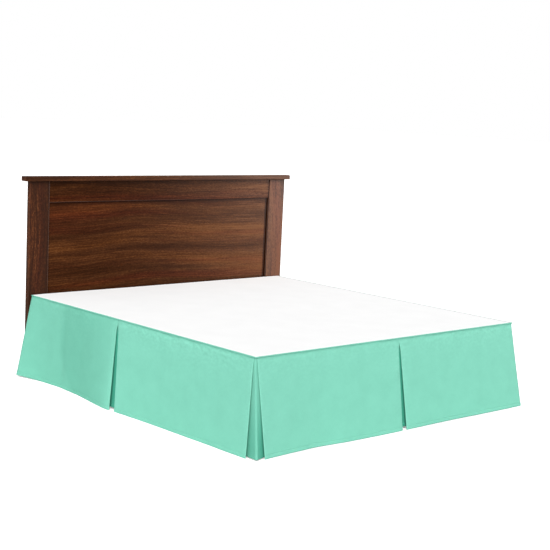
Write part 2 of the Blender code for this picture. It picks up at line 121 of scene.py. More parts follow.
# How strongly the seam puckers a drop at each run.
Pucker = namedtuple("Pucker", "run strength")
LEFT_PUCKERS = table(
    Pucker, (0.00, 1.2), (0.30, 2.2), (0.60, 2.1), (0.95, 1.9), (1.20, 0.5), (1.55, 1.3),
    (1.80, 0.9), (2.03, 0.4))
FOOT_PUCKERS = table(
    Pucker, (0.00, 0.8), (0.30, 1.4), (0.70, 1.0), (0.95, 1.5), (1.20, 1.4), (1.60, 2.1),
    (1.98, 1.9))
RIGHT_PUCKERS = table(
    Pucker, (0.00, 0.6), (0.50, 1.1), (1.00, 0.7), (1.50, 1.2), (2.03, 0.6))

# A main crease that runs down a drop: its run at the seam and at the hem, its depth (a trough is
# positive) and its half width.
Crease = namedtuple("Crease", "top hem depth width")
LEFT_CREASES = table(
    Crease, (1.640, 1.655, 0.0030, 0.045), (1.935, 1.890, 0.0012, 0.060),
    (1.300, 1.380, -0.0012, 0.070), (0.800, 0.720, 0.0010, 0.080),
    (0.330, 0.420, -0.0010, 0.090))
FOOT_CREASES = table(
    Crease, (0.250, 0.330, 0.0012, 0.080), (0.640, 0.600, -0.0010, 0.090),
    (1.330, 1.400, 0.0010, 0.100), (1.720, 1.680, -0.0010, 0.080))
RIGHT_CREASES = table(
    Crease, (0.420, 0.360, 0.0014, 0.080), (1.420, 1.480, 0.0020, 0.060),
    (1.760, 1.800, -0.0010, 0.070))

# ---------------------------------------------------------------- curves and uneven waves


def mix(start, end, share):
    """The value that lies `share` of the way from start to end."""
    return start + (end - start) * share


def smooth_step(low, high, value):
    """0 at low, 1 at high, an S-curve between and level past both; low may be the larger one."""
    share = np.clip((value - low) / (high - low), 0.0, 1.0)
    return share * share * (3.0 - 2.0 * share)


def read_table(rows, run, column):
    """A table's column at each run: cubic curves through the rows, with slopes between neighbours."""
    runs = np.array([row.run for row in rows])
    values = np.array([getattr(row, column) for row in rows])
    before = np.maximum(np.arange(len(runs)) - 1, 0)
    after = np.minimum(np.arange(len(runs)) + 1, len(runs) - 1)
    slopes = (values[after] - values[before]) / (runs[after] - runs[before])
    run = np.clip(run, runs[0], runs[-1])
    i = np.clip(np.searchsorted(runs, run, side="right") - 1, 0, len(runs) - 2)
    step = runs[i + 1] - runs[i]
    t = (run - runs[i]) / step
    return (
        values[i] * (1 + 2 * t) * (1 - t) ** 2
        + slopes[i] * step * t * (1 - t) ** 2
        + values[i + 1] * t * t * (3 - 2 * t)
        + slopes[i + 1] * step * t * t * (t - 1)
    )


NOISE_CELLS = 512


def ripple(place, pitch, seed):
    """An uneven wave from -1 to 1: a random height at each pitch, joined by S-curves."""
    heights = np.random.default_rng(seed).uniform(-1.0, 1.0, NOISE_CELLS + 1)
    at = np.asarray(place) / pitch + NOISE_CELLS / 4
    cell = np.clip(np.floor(at).astype(int), 0, NOISE_CELLS - 1)
    share = smooth_step(0.0, 1.0, at - cell)
    return mix(heights[cell], heights[cell + 1], share)


def dapple(x, y, pitch, seed):
    """Uneven low hills from -1 to 1: random heights on a square grid, joined by S-curves."""
    heights = np.random.default_rng(seed).uniform(-1.0, 1.0, (NOISE_CELLS + 1, NOISE_CELLS + 1))
    at_x, at_y = x / pitch + NOISE_CELLS / 4, y / pitch + NOISE_CELLS / 4
    i, j = np.floor(at_x).astype(int), np.floor(at_y).astype(int)
    share_x, share_y = smooth_step(0.0, 1.0, at_x - i), smooth_step(0.0, 1.0, at_y - j)
    near = mix(heights[i, j], heights[i + 1, j], share_x)
    far = mix(heights[i, j + 1], heights[i + 1, j + 1], share_x)
    return mix(near, far, share_y)


def lengths(points):
    """How far along its line of points, down the first axis, each point lies."""
    steps = np.linalg.norm(np.diff(points, axis=0), axis=-1)
    return np.concatenate([np.zeros((1, *steps.shape[1:])), np.cumsum(steps, axis=0)])


# ---------------------------------------------------------------- grids into pieces


def grid_faces(rows, columns, first=0, closed=False, flip=False):
    """Four-point faces over a grid numbered row by row from `first`; closed rows join their ends."""
    number = first + np.arange(rows * columns).reshape(rows, columns)
    if closed:
        number = np.hstack([number, number[:, :1]])
    corners = (number[:-1, :-1], number[:-1, 1:], number[1:, 1:], number[1:, :-1])
    faces = np.stack([c.ravel() for c in corners], axis=1)
    return faces[:, ::-1] if flip else faces


def barrel_faces(rows, columns):
    """Faces of a grid with closed rows, and one flat face over its first row and over its last."""
    last = (rows - 1) * columns
    ends = [list(range(columns))[::-1], list(range(last, last + columns))]
    return grid_faces(rows, columns, closed=True).tolist() + ends


def put_in_scene(name, points, faces, material, slot, uv=None, marks=None, normals=None):
    """Make one piece from whole arrays and let it ride on the bed.

    `uv` is a UV point in metres for each mesh point, `marks` holds named numbers or vectors for
    each point, and `normals` the surface's own directions where they are known exactly.
    """
    mesh = bpy.data.meshes.new(name)
    faces = faces.tolist() if isinstance(faces, np.ndarray) else faces
    mesh.from_pydata(points.reshape(-1, 3).tolist(), [], faces)
    mesh.validate()
    mesh.shade_smooth()
    if uv is not None:
        corner = np.zeros(len(mesh.loops), np.int32)
        mesh.loops.foreach_get("vertex_index", corner)
        layer = mesh.uv_layers.new(name="cloth_metres")
        layer.data.foreach_set("uv", uv.reshape(-1, 2).astype(np.float32)[corner].ravel())
    for mark, values in (marks or {}).items():
        kind, field = ("FLOAT_VECTOR", "vector") if mark == "grain" else ("FLOAT", "value")
        values = values.astype(np.float32).ravel()
        mesh.attributes.new(mark, kind, "POINT").data.foreach_set(field, values)
    if normals is not None:
        mesh.normals_split_custom_set_from_vertices(normals.tolist())
    mesh.materials.append(material)
    piece = bpy.data.objects.new(name, mesh)
    bpy.context.scene.collection.objects.link(piece)
    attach(piece, "root")
    return piece


def give_thickness(piece, thickness):
    """Turn an open sheet into cloth of that thickness, half to each side."""
    wall = piece.modifiers.new("cloth", "SOLIDIFY")
    wall.thickness = thickness
    wall.offset = 0.0
    wall.use_even_offset = True
    wall.thickness_clamp = 0.0


# ---------------------------------------------------------------- shader nodes


def colour(*rgb):
    """A colour with full alpha."""
    return (*rgb, 1.0)


class Shader:
    """A material's node tree, with a short way to add and join nodes."""

    def __init__(self, name):
        self.material = bpy.data.materials.new(name)
        self.material.use_nodes = True
        self.tree = self.material.node_tree
        self.surface = self.tree.nodes["Principled BSDF"]

    def feed(self, socket, value):
        """Give a socket a plain value, or join it to the output that feeds it."""
        if isinstance(value, bpy.types.NodeSocket):
            self.tree.links.new(value, socket)
        else:
            socket.default_value = value

    def node(self, kind, output=0, settings=None, **inputs):
        """Add a node and return one of its outputs.  An input is named, or numbered as in_0."""
        node = self.tree.nodes.new("ShaderNode" + kind)
        for key, value in (settings or {}).items():
            setattr(node, key, value)
        for key, value in inputs.items():
            place = int(key[3:]) if key.startswith("in_") else key.replace("_", " ")
            self.feed(node.inputs[place], value)
        return node.outputs[output]

    def cloth_uv(self):
        """The piece's UV map in metres."""
        return self.node("UVMap", settings={"uv_map": "cloth_metres"})

    def mark(self, name, output=2):
        """One of the piece's marks: a number, or a vector from output 1."""
        return self.node("Attribute", output, {"attribute_name": name})

    def math(self, operation, first, second=0.0, third=0.0):
        """One arithmetic step."""
        return self.node("Math", 0, {"operation": operation}, in_0=first, in_1=second, in_2=third)

    def add_swing(self, cloud, weight, onto=0.0):
        """Another value plus the weighted swing of a cloud about its middle, 0.5."""
        return self.math("MULTIPLY_ADD", self.math("SUBTRACT", cloud, 0.5), weight, onto)

    def noise(self, vector, stretch=None, shift=(0, 0, 0), scale=1.0, detail=3.0, roughness=0.5):
        """Cloudy noise from 0 to 1 at each point of a vector, stretched and shifted first."""
        if stretch:
            vector = self.node("Mapping", Vector=vector, Scale=stretch, Location=shift)
        return self.node("TexNoise", Vector=vector, Scale=scale, Detail=detail,
                         Roughness=roughness)

    def span(self, value, low, high, to_low=0.0, to_high=1.0):
        """A value's range from low to high spread over another range, and held at its ends."""
        return self.node("MapRange", Value=value, From_Min=low, From_Max=high,
                         To_Min=to_low, To_Max=to_high)

    def blend(self, share, first, second, way="MIX"):
        """Two colours mixed."""
        return self.node("Mix", 2, {"data_type": "RGBA", "blend_type": way},
                         in_0=share, in_6=first, in_7=second)

    def ramp(self, share, *stops):
        """A colour read off a ramp of (place, red, green, blue) stops."""
        node = self.tree.nodes.new("ShaderNodeValToRGB")
        ends = node.color_ramp.elements
        for place, *_ in stops[1:-1]:
            ends.new(place)
        for end, (place, *rgb) in zip(ends, stops):
            end.position = place
            end.color = colour(*rgb)
        self.feed(node.inputs[0], share)
        return node.outputs[0]

    def weave(self, uv, pitch, threads):
        """Plain weave over uneven threads: one sine wave for each thread direction, multiplied."""
        turn = 2.0 * math.pi / pitch
        across, along = (
            self.math("SINE", self.math("MULTIPLY", self.node("SeparateXYZ", axis, in_0=uv), turn))
            for axis in (0, 1))
        return self.math("MULTIPLY_ADD", self.math("MULTIPLY", across, along), 0.5, threads)

    def bump(self, height, distance, strength):
        """Raise or lower the surface's shading by a height in metres times distance."""
        normal = self.node("Bump", Height=height, Distance=distance, Strength=strength)
        self.feed(self.surface.inputs["Normal"], normal)

    def set(self, **inputs):
        """Constants and joined values on the surface itself."""
        for key, value in inputs.items():
            self.feed(self.surface.inputs[key.replace("_", " ")], value)


# ---------------------------------------------------------------- materials

THREAD_PITCH = 0.0007
TICKING_PITCH = 0.0011
STRIPE_PITCH = 0.022
FLOOR_GLOW = 0.35


def mint_cloth():
    """Brushed mint microfibre: dappled nap over a fine plain weave.

    The mark `shade` is painted shade where the cloth turns away from the light and in the corner
    underlays' recesses; the highlight mark pales it as a painted highlight on small crumples where it
    stands up and beside free edges; the deep shade mark is painted shade in the seam, on the edge
    band, inside the pleats and in the corners.
    """
    cloth = Shader("mint_microfibre")
    uv = cloth.cloth_uv()
    clouds = cloth.noise(uv, scale=11.0, detail=5.0, roughness=0.55)
    brushed = cloth.noise(uv, stretch=(160.0, 60.0, 1.0), roughness=0.6)
    tone = cloth.add_swing(brushed, 0.25, onto=cloth.add_swing(clouds, 0.45, onto=0.5))
    base = cloth.ramp(tone, (0.0, 0.149, 0.440, 0.331), (0.5, 0.189, 0.532, 0.407),
                      (1.0, 0.229, 0.614, 0.478))
    # Painted shade: where the cloth turns away from the light, and in the corner underlays' recesses.
    base = cloth.blend(cloth.mark("shade"), base, colour(0.752, 0.834, 0.815), way="MULTIPLY")
    # Painted highlight on small crumples where the cloth stands up under the seam, and beside free
    # edges.
    crumples = cloth.noise(uv, stretch=(48.0, 70.0, 1.0), detail=2.0)
    painted_highlight = cloth.math("MULTIPLY", cloth.mark("painted_highlight"), cloth.span(crumples, 0.38, 0.64))
    base = cloth.blend(painted_highlight, base, colour(1.24, 1.15, 1.18), way="MULTIPLY")
    # Painted shade in the seam, on the edge band, inside the pleats and in the corner underlays.
    base = cloth.blend(cloth.mark("deep_shade"), base, colour(0.009, 0.330, 0.212))
    cloth.set(Base_Color=base, Roughness=0.92, Sheen_Weight=0.08, Sheen_Roughness=0.45,
              Sheen_Tint=colour(0.62, 0.95, 0.85), Specular_IOR_Level=0.06)
    fuzz = cloth.noise(uv, stretch=(900.0, 700.0, 1.0), detail=2.0)
    cloth.bump(cloth.weave(uv, THREAD_PITCH, fuzz), distance=0.00008, strength=0.7)
    return cloth.material


def white_cloth():
    """Plain-woven white platform cloth with a faint unevenness."""
    cloth = Shader("white_platform_cloth")
    uv = cloth.cloth_uv()
    clouds = cloth.noise(uv, scale=6.0, detail=4.0)
    base = cloth.ramp(clouds, (0.3, 0.816, 0.817, 0.817), (0.7, 0.840, 0.841, 0.841))
    cloth.set(Base_Color=base, Roughness=0.95, Specular_IOR_Level=0.15)
    slub = cloth.noise(uv, stretch=(40.0, 900.0, 1.0), detail=2.0)
    cloth.bump(cloth.weave(uv, THREAD_PITCH, slub), distance=0.00006, strength=0.6)
    return cloth.material


def foundation_cloth():
    """Woven off-white ticking with fine grey stripes, and a dark lining where `lining` is 1."""
    cloth = Shader("foundation_ticking")
    uv = cloth.cloth_uv()
    turn = 2.0 * math.pi / STRIPE_PITCH
    stripe = cloth.math("SINE", cloth.math("MULTIPLY", cloth.node("SeparateXYZ", in_0=uv), turn))
    base = cloth.ramp(cloth.span(stripe, 0.86, 0.95), (0.0, 0.760, 0.740, 0.690),
                      (1.0, 0.520, 0.520, 0.510))
    clouds = cloth.noise(uv, scale=9.0, detail=4.0)
    base = cloth.blend(cloth.span(clouds, 0.35, 0.75, 0.0, 0.25), base, colour(0.66, 0.63, 0.57))
    base = cloth.blend(cloth.mark("lining"), base, colour(0.035, 0.035, 0.038))
    cloth.set(Base_Color=base, Roughness=0.9, Specular_IOR_Level=0.2)
    slub = cloth.noise(uv, stretch=(900.0, 60.0, 1.0), detail=2.0)
    cloth.bump(cloth.weave(uv, TICKING_PITCH, slub), distance=0.00012, strength=0.6)
    return cloth.material


def walnut():
    """Oiled walnut veneer, read from the marks `grain`, `figure`, `tone` and the painted sheen mark.

    `grain` is a point's place along, across and through its log in metres.  Broad bands lie along
    the grain and bend in low arches; fine streaks, short flecks and hair lines run over them, all
    as strong as `figure` says, with a few red bands, and amber where the broad bands are pale.
    `tone` lightens or darkens a place, partly the wood's own tone and partly painted shadow and
    painted reflection, and the sheen mark pales it as painted highlight on eased edges and painted
    reflection haze.
    """
    wood = Shader("oiled_walnut")
    grain = wood.mark("grain", output=1)
    sway = wood.add_swing(wood.noise(grain, stretch=(0.8, 1.7, 1.7), detail=1.5), 0.13)
    bent = wood.node("VectorMath", settings={"operation": "ADD"}, in_0=grain,
                     in_1=wood.node("CombineXYZ", Y=sway))
    broad = wood.noise(bent, stretch=(0.55, 9.0, 9.0), detail=2.0)
    bands = wood.noise(bent, stretch=(1.0, 34.0, 34.0), detail=4.0, roughness=0.62)
    streaks = wood.noise(bent, stretch=(3.4, 150.0, 150.0), detail=4.0, roughness=0.75)
    flecks = wood.noise(bent, stretch=(65.0, 240.0, 240.0), roughness=0.7)
    hairs = wood.noise(bent, stretch=(11.0, 800.0, 800.0), detail=1.0)
    blush = wood.noise(bent, stretch=(0.5, 15.0, 15.0), shift=(7.0, 3.0, 1.0), detail=2.0)
    figure = 0.0
    for cloud, weight in ((broad, 0.95), (bands, 0.60), (streaks, 1.20), (flecks, 1.00)):
        figure = wood.add_swing(cloud, weight, onto=figure)
    tone = wood.math("MULTIPLY_ADD", figure, wood.mark("figure"), wood.mark("tone"))
    base = wood.ramp(tone, (0.00, 0.0190, 0.0050, 0.0010), (0.30, 0.0330, 0.0093, 0.0022),
                     (0.50, 0.0560, 0.0175, 0.0052), (0.70, 0.0965, 0.0325, 0.0100),
                     (1.00, 0.1880, 0.0750, 0.0300))
    reddish, amber = wood.span(blush, 0.45, 0.66, 0.0, 0.8), wood.span(broad, 0.46, 0.62)
    base = wood.blend(reddish, base, colour(1.06, 0.72, 0.80), way="MULTIPLY")
    base = wood.blend(amber, base, colour(1.04, 0.97, 0.76), way="MULTIPLY")
    pitted = wood.span(hairs, 0.60, 0.72)
    base = wood.blend(wood.math("MULTIPLY", pitted, 0.35), base, colour(0.012, 0.004, 0.002))
    # Painted highlight and painted reflection haze, towards a pinkish grey.
    base = wood.blend(wood.mark("worn"), base, colour(0.26, 0.16, 0.13))
    wood.set(Base_Color=base, Roughness=wood.span(streaks, 0.3, 0.7, 0.33, 0.27),
             Specular_IOR_Level=0.018)
    wood.bump(wood.math("MULTIPLY_ADD", pitted, -0.8, streaks), distance=0.00010, strength=0.5)
    return wood.material


def dark_steel():
    """Powder-coated steel: near black with a fine orange-peel skin."""
    steel = Shader("dark_powder_coat")
    place = steel.node("TexCoord", output=3)
    patches = steel.noise(place, scale=14.0)
    base = steel.ramp(patches, (0.3, 0.030, 0.030, 0.033), (0.7, 0.048, 0.048, 0.052))
    steel.set(Base_Color=base, Roughness=steel.span(patches, 0.3, 0.7, 0.40, 0.52),
              Metallic=0.0, Specular_IOR_Level=0.5)
    steel.bump(steel.noise(place, scale=900.0, detail=2.0), distance=0.0002, strength=0.5)
    return steel.material


def bright_steel():
    """Zinc-plated steel of bolts and washers."""
    steel = Shader("zinc_plate")
    patches = steel.noise(steel.node("TexCoord", output=3), scale=220.0)
    base = steel.ramp(patches, (0.3, 0.52, 0.51, 0.48), (0.7, 0.66, 0.65, 0.62))
    steel.set(Base_Color=base, Metallic=1.0, Roughness=steel.span(patches, 0.3, 0.7, 0.28, 0.42))
    return steel.material


def floor_finish():
    """Plain pale floor, with a little glow of its own that softens the shadows on it."""
    floor = Shader("pale_floor")
    cloud = floor.noise(floor.node("TexCoord", output=3), scale=1.5)
    base = floor.ramp(cloud, (0.3, 0.925, 0.925, 0.925), (0.7, 0.945, 0.945, 0.945))
    glow = floor.math("MULTIPLY", floor.node("LightPath"), FLOOR_GLOW)
    floor.set(Base_Color=base, Roughness=1.0, Specular_IOR_Level=0.0,
              Emission_Color=colour(1.0, 1.0, 1.0), Emission_Strength=glow)
    return floor.material


MINT = mint_cloth()
WHITE = white_cloth()
TICKING = foundation_cloth()
STEEL = dark_steel()
ZINC = bright_steel()

# ---------------------------------------------------------------- the three sides

# The left drop's painted shade, where the cloth turns away from the light: how much darker it lies
# past the pleat and before a soft fold, the runs over which that sets in, and the fold's run, how it
# sways and bends down the fall, and its softness.
FULL_FALL = 0.48
PAST_PLEAT_SHADE, PAST_PLEAT_RUNS = 0.46, (1.09, 1.22)
BEFORE_FOLD_SHADE, BEFORE_FOLD_RUNS = 0.44, (1.12, 1.50)
FOLD_RUN, FOLD_SWAY, FOLD_BEND, FOLD_SOFTNESS = 1.665, 0.035, 0.16, 0.030


def even_shade(run, fall):
    """No painted shade: the same everywhere."""
    return np.zeros(run.shape)


def left_shade(run, fall):
    """The left drop's painted shade where it turns away from the light: S-curves along the run, and a
    fold whose run is a squared sine and a cube of the fall."""
    down = fall / FULL_FALL
    fold = FOLD_RUN + FOLD_SWAY * np.sin((down - 0.1) * math.pi) ** 2 - FOLD_BEND * down ** 3
    past_pleat = smooth_step(*PAST_PLEAT_RUNS, run)
    before_fold = 1.0 - smooth_step(-FOLD_SOFTNESS, FOLD_SOFTNESS, run - fold)
    before_fold = before_fold * smooth_step(*BEFORE_FOLD_RUNS, run)
    return PAST_PLEAT_SHADE * past_pleat + BEFORE_FOLD_SHADE * before_fold


# A drop's two ends and its pleat: the run at the top edge and at the hem.
Place = namedtuple("Place", "top hem")
# The side a drop hangs on: where run 0 and flare 0 meet, the direction of the run, the direction
# away from the bed, the tables above, the drop's ends, its pleat's middle and half its opening,
# its painted shade, and the seed of its waves.
Side = namedtuple(
    "Side", "corner along outward hang puckers creases start pleat half_gap end shade seed")
SIDE_END = Place(top=BED_LENGTH - DROP_HEAD_SET, hem=BED_LENGTH + DROP_HEAD_SET)
LEFT = Side(
    corner=(-SIDE_X, FOOT_Y), along=(0, 1), outward=(-1, 0),
    hang=LEFT_HANG, puckers=LEFT_PUCKERS, creases=LEFT_CREASES,
    start=Place(top=SIDE_CORNER_GAP, hem=-0.020), end=SIDE_END,
    pleat=Place(top=1.137, hem=1.062), half_gap=Place(top=0.009, hem=0.025),
    shade=left_shade, seed=11,
)
FOOT = Side(
    corner=(-SIDE_X, FOOT_Y), along=(1, 0), outward=(0, -1),
    hang=FOOT_HANG, puckers=FOOT_PUCKERS, creases=FOOT_CREASES,
    start=Place(top=FOOT_CORNER_GAP, hem=0.014), end=Place(top=BED_WIDTH - FOOT_CORNER_GAP, hem=2.011),
    pleat=Place(top=1.0085, hem=1.006), half_gap=Place(top=0.0065, hem=0.020),
    shade=even_shade, seed=23,
)
RIGHT = Side(
    corner=(SIDE_X, FOOT_Y), along=(0, 1), outward=(1, 0),
    hang=RIGHT_HANG, puckers=RIGHT_PUCKERS, creases=RIGHT_CREASES,
    start=Place(top=SIDE_CORNER_GAP, hem=-0.018), end=SIDE_END,
    pleat=Place(top=1.040, hem=1.034), half_gap=Place(top=0.007, hem=0.022),
    shade=even_shade, seed=37,
)


def along_edge(corner, along, outward, run, out, height):
    """Grid points at a run along an edge of the bed, a distance out past it, and a height."""
    return np.stack([
        corner[0] + along[0] * run + outward[0] * out,
        corner[1] + along[1] * run + outward[1] * out,
        height,
    ], axis=2)


def handed(along, outward):
    """Above 0 where the way out is a left turn from the way along, and below 0 for a right one."""
    return along[0] * outward[1] - along[1] * outward[0]


# ---------------------------------------------------------------- lines of a hanging cloth

# A cloth's vertical lines are rows of an array with these columns: the run and the distance out
# past the bed's side at the top edge and at the hem, and the hem's height.
RUN_TOP, OUT_TOP, RUN_HEM, OUT_HEM, HEM = range(5)
OUTER_OUT = -SOLID_CLOTH / 2
RETURN_OUT = OUTER_OUT - LAYER_PITCH


def cloth_lines(*columns):
    """Lines from their five columns, each an array or one number for all the lines."""
    return np.stack(np.broadcast_arrays(*columns), axis=1)


def straight_lines(first, second, count):
    """Lines spaced evenly from one line to another, both ends left out."""
    share = np.linspace(0.0, 1.0, count + 2)[1:-1, None]
    return mix(first, second, share)


def panel_lines(side, start, end):
    """Lines of the flat outer layer between two places, evenly spaced along the drop."""
    share = np.linspace(0.0, 1.0, round(abs(end.hem - start.hem) / COLUMN_STEP) + 1)
    run_hem = mix(start.hem, end.hem, share)
    flare, hem = (read_table(side.hang, run_hem, column) for column in ("flare", "hem"))
    return cloth_lines(mix(start.top, end.top, share), OUTER_OUT, run_hem, flare, hem)


def fold_lines(first, second, direction):
    """Lines round the half circle of a fold, from one layer's edge line to the next layer's."""
    angle = np.linspace(math.pi / 2, -math.pi / 2, FOLD_STEPS + 1)[1:-1]
    lines = np.empty((len(angle), 5))
    middle = (first + second) / 2
    for run, out in ((RUN_TOP, OUT_TOP), (RUN_HEM, OUT_HEM)):
        radius = (first[out] - second[out]) / 2
        lines[:, run] = middle[run] + direction * abs(radius) * np.cos(angle)
        lines[:, out] = middle[out] + radius * np.sin(angle)
    lines[:, HEM] = mix(first[HEM], second[HEM], (angle - angle[0]) / (angle[-1] - angle[0]))
    return lines


def half_pleat_lines(side, edge, hand):
    """Lines of half an inverted pleat, and how much of the panel's relief each one shares.

    The panel's edge turns under, the return runs back behind the panel, and its far fold leads
    into the underlay.  `hand` is -1 for the panel before the pleat and 1 for the one after it.
    """
    flare = read_table(side.hang, side.pleat.hem, "flare")
    hem = read_table(side.hang, side.pleat.hem, "hem") + PLEAT_UNDERLAY_RISE
    returned = edge.copy()
    returned[OUT_TOP] = RETURN_OUT
    returned[OUT_HEM] -= PLEAT_RETURN_STEP
    tucked = np.array([
        side.pleat.top + hand * PLEAT_TUCK, RETURN_OUT,
        side.pleat.hem + hand * PLEAT_TUCK, flare - PLEAT_BACK_SET, hem,
    ])
    under = tucked.copy()
    under[OUT_TOP] -= LAYER_PITCH
    under[OUT_HEM] = flare - PLEAT_UNDERLAY_SET
    back = straight_lines(returned, tucked, round(PLEAT_TUCK / COLUMN_STEP))
    parts = (
        (edge[None], 1.0), (fold_lines(edge, returned, -hand), 1.0), (returned[None], 1.0),
        (back, np.linspace(1.0, 0.0, len(back) + 2)[1:-1]),
        (tucked[None], 0.0), (fold_lines(tucked, under, hand), 0.0), (under[None], 0.0),
    )
    return (np.concatenate([lines for lines, _ in parts]),
            np.concatenate([np.broadcast_to(share, len(lines)) for lines, share in parts]))


def soft_start(share):
    """A straight ramp from 0 to 1 whose foot is rounded over the seam's softness."""
    reach = math.hypot(1.0, SEAM_SOFTNESS)
    return (np.hypot(share, SEAM_SOFTNESS) - SEAM_SOFTNESS) / (reach - SEAM_SOFTNESS)


def hang_grid(lines):
    """Points of a hanging cloth, a row for each height and a column for each line.

    The cloth goes straight down through the seam's depth, then each line runs out to its hem.
    Returns run, out and height grids and the fall below the top edge.
    """
    share = np.linspace(0.0, 1.0, FALL_ROWS + 1)[1:-1]
    share = share - ROW_CROWDING * share * (1.0 - share) ** 3
    share = np.concatenate([np.zeros(SEAM_ROWS), share, 1.0 - np.array(LAST_ROWS)])[:, None]
    in_seam = np.minimum(np.arange(len(share)) / (SEAM_ROWS - 1), 1.0)[:, None]
    run = mix(lines[:, RUN_TOP], lines[:, RUN_HEM], share)
    out = mix(lines[:, OUT_TOP], lines[:, OUT_HEM], soft_start(share))
    height = DROP_TOP - SEAM_DEPTH * in_seam
    height = height - (DROP_TOP - SEAM_DEPTH - lines[:, HEM]) * share
    return run, out, height, DROP_TOP - height


def turn_hem(points, inward):
    """Add the hem's rows: round a tight fold at the bottom and back up behind the cloth.

    `inward` is 1 or -1, the sign that makes the grid's normals point to the cloth's back.
    """
    normal = np.cross(np.gradient(points, axis=0)[-1], np.gradient(points, axis=1)[-1])
    back = inward * normal / np.linalg.norm(normal, axis=1, keepdims=True)
    down = points[-1] - points[-2]
    down = down / np.linalg.norm(down, axis=1, keepdims=True)
    radius = HEM_LAYER_GAP / 2
    angle = np.linspace(0.0, math.pi, HEM_FOLD_STEPS + 1)[1:, None, None]
    fold = points[-1] + radius * (1.0 - np.cos(angle)) * back + radius * np.sin(angle) * down
    rise = np.array(HEM_RISES)[:, None, None] * HEM_TURN
    return np.concatenate([points, fold, fold[-1] - rise * down])


# ---------------------------------------------------------------- drops

# Painted shadow in the seam under the band: its depth of colour, and how fast that fades below it.
SEAM_SHADE, SEAM_SHADE_REACH = 0.32, 0.0022
# Short puckers under the seam: upright waves that lean, and slanted dimples.
PUCKER_HEIGHT, PUCKER_FALL = 0.0017, (0.003, 0.012)
UPRIGHT_PITCH, UPRIGHT_REACH, UPRIGHT_SHARE = 0.023, 0.016, 0.6
LEAN_PITCH, LEAN = 0.11, 0.25
DIMPLE_PITCH, DIMPLE_REACH, DIMPLE_SQUASH, DIMPLE_SLANT = 0.038, 0.040, 3.2, 0.9
SEAM_ROLL, SEAM_ROLL_FALL = 0.0028, (0.004, 0.036)
# Slow waves and hills over a whole panel, and the share of the fall over which they and the
# creases grow.
PANEL_WAVE, WAVE_GROWTH, CREASE_GROWTH = 0.0012, 0.6, 0.25
LONG_PITCH, LONG_SLANT = 0.16, 0.05
SHORT_PITCH, SHORT_SHARE = 0.07, 0.6
HILL_PITCH, HILL_SHARE = 0.09, 0.5
# How far a pleat's edges are stitched together under the seam, and over which fall they part.
STITCH_PULL, STITCH_FALL, STITCH_REACH = 0.95, (0.022, 0.065), 0.032
# Beside a pleat the relief is calmer, and its edges are crinkled.
PLEAT_CALM, CALM_REACH = 0.35, 0.05
CRINKLE, CRINKLE_PITCH, CRINKLE_STRETCH = 0.0006, 0.009, 0.3
CRINKLE_REACH, CRINKLE_FALL = 0.06, (0.02, 0.10)
# Painted shade inside a pleat, and the fall over which it sets in.
PLEAT_SHADE, PLEAT_SHADE_FALL = 0.66, 0.1
# Painted highlight: its strength under the seam, the fall over which it sets in and fades, and its
# strength and reach beside a free edge.
SEAM_HIGHLIGHT, SEAM_HIGHLIGHT_FALL, SEAM_HIGHLIGHT_REACH = 0.40, (0.006, 0.018), 0.085
EDGE_HIGHLIGHT, EDGE_HIGHLIGHT_REACH = 0.35, 0.030


def seam_shade(fall):
    """How much painted shadow a point has under the edge band: deepest in the seam, fading below."""
    under_band = fall - (DROP_TOP - (DECK_TOP - BAND_DOWN))
    return SEAM_SHADE * np.exp(-np.maximum(under_band, 0.0) / SEAM_SHADE_REACH)


def drop_relief(side, run, fall, share):
    """How far a drop's outer layer stands out of its plain hang, at each run and fall.

    The seam's puckers are short uneven waves that die away below it, where the cloth rolls out
    from under the band; slow waves grow towards the hem; each crease is a soft trough or ridge
    with a bell-shaped section.  `share` is the fall as a share of the cloth's length.
    """
    lean = run + LEAN * fall * ripple(run, LEAN_PITCH, side.seed)
    upright = ripple(lean, UPRIGHT_PITCH, side.seed + 1) * np.exp(-fall / UPRIGHT_REACH)
    slanted = DIMPLE_SQUASH * fall + DIMPLE_SLANT * run
    dimples = dapple(run, slanted, DIMPLE_PITCH, side.seed + 2) * np.exp(-fall / DIMPLE_REACH)
    height = PUCKER_HEIGHT * read_table(side.puckers, run, "strength")
    puckers = height * (UPRIGHT_SHARE * upright + dimples) * smooth_step(*PUCKER_FALL, fall)
    slow = ripple(run + LONG_SLANT * share, LONG_PITCH, side.seed + 3)
    slow = slow + SHORT_SHARE * ripple(run, SHORT_PITCH, side.seed + 4)
    slow = slow + HILL_SHARE * dapple(run, fall, HILL_PITCH, side.seed + 5)
    relief = puckers + SEAM_ROLL * smooth_step(*SEAM_ROLL_FALL, fall)
    relief = relief + PANEL_WAVE * slow * smooth_step(0.0, WAVE_GROWTH, share)
    for crease in side.creases:
        middle = mix(crease.top, crease.hem, share)
        bell = np.exp(-((run - middle) / crease.width) ** 2)
        relief = relief - crease.depth * bell * smooth_step(0.0, CREASE_GROWTH, share)
    return relief


def painted_highlight_amount(side, run, fall, from_edge):
    """How much painted highlight a point has: most just below the seam, where the puckers catch the
    light, and beside a free edge, then fading.
    """
    strength = read_table(side.puckers, run, "strength")
    below_seam = strength * smooth_step(*SEAM_HIGHLIGHT_FALL, fall) * np.exp(-fall / SEAM_HIGHLIGHT_REACH)
    beside_edge = EDGE_HIGHLIGHT * np.exp(-from_edge / EDGE_HIGHLIGHT_REACH)
    return np.clip(SEAM_HIGHLIGHT * below_seam + beside_edge, 0.0, 1.0)


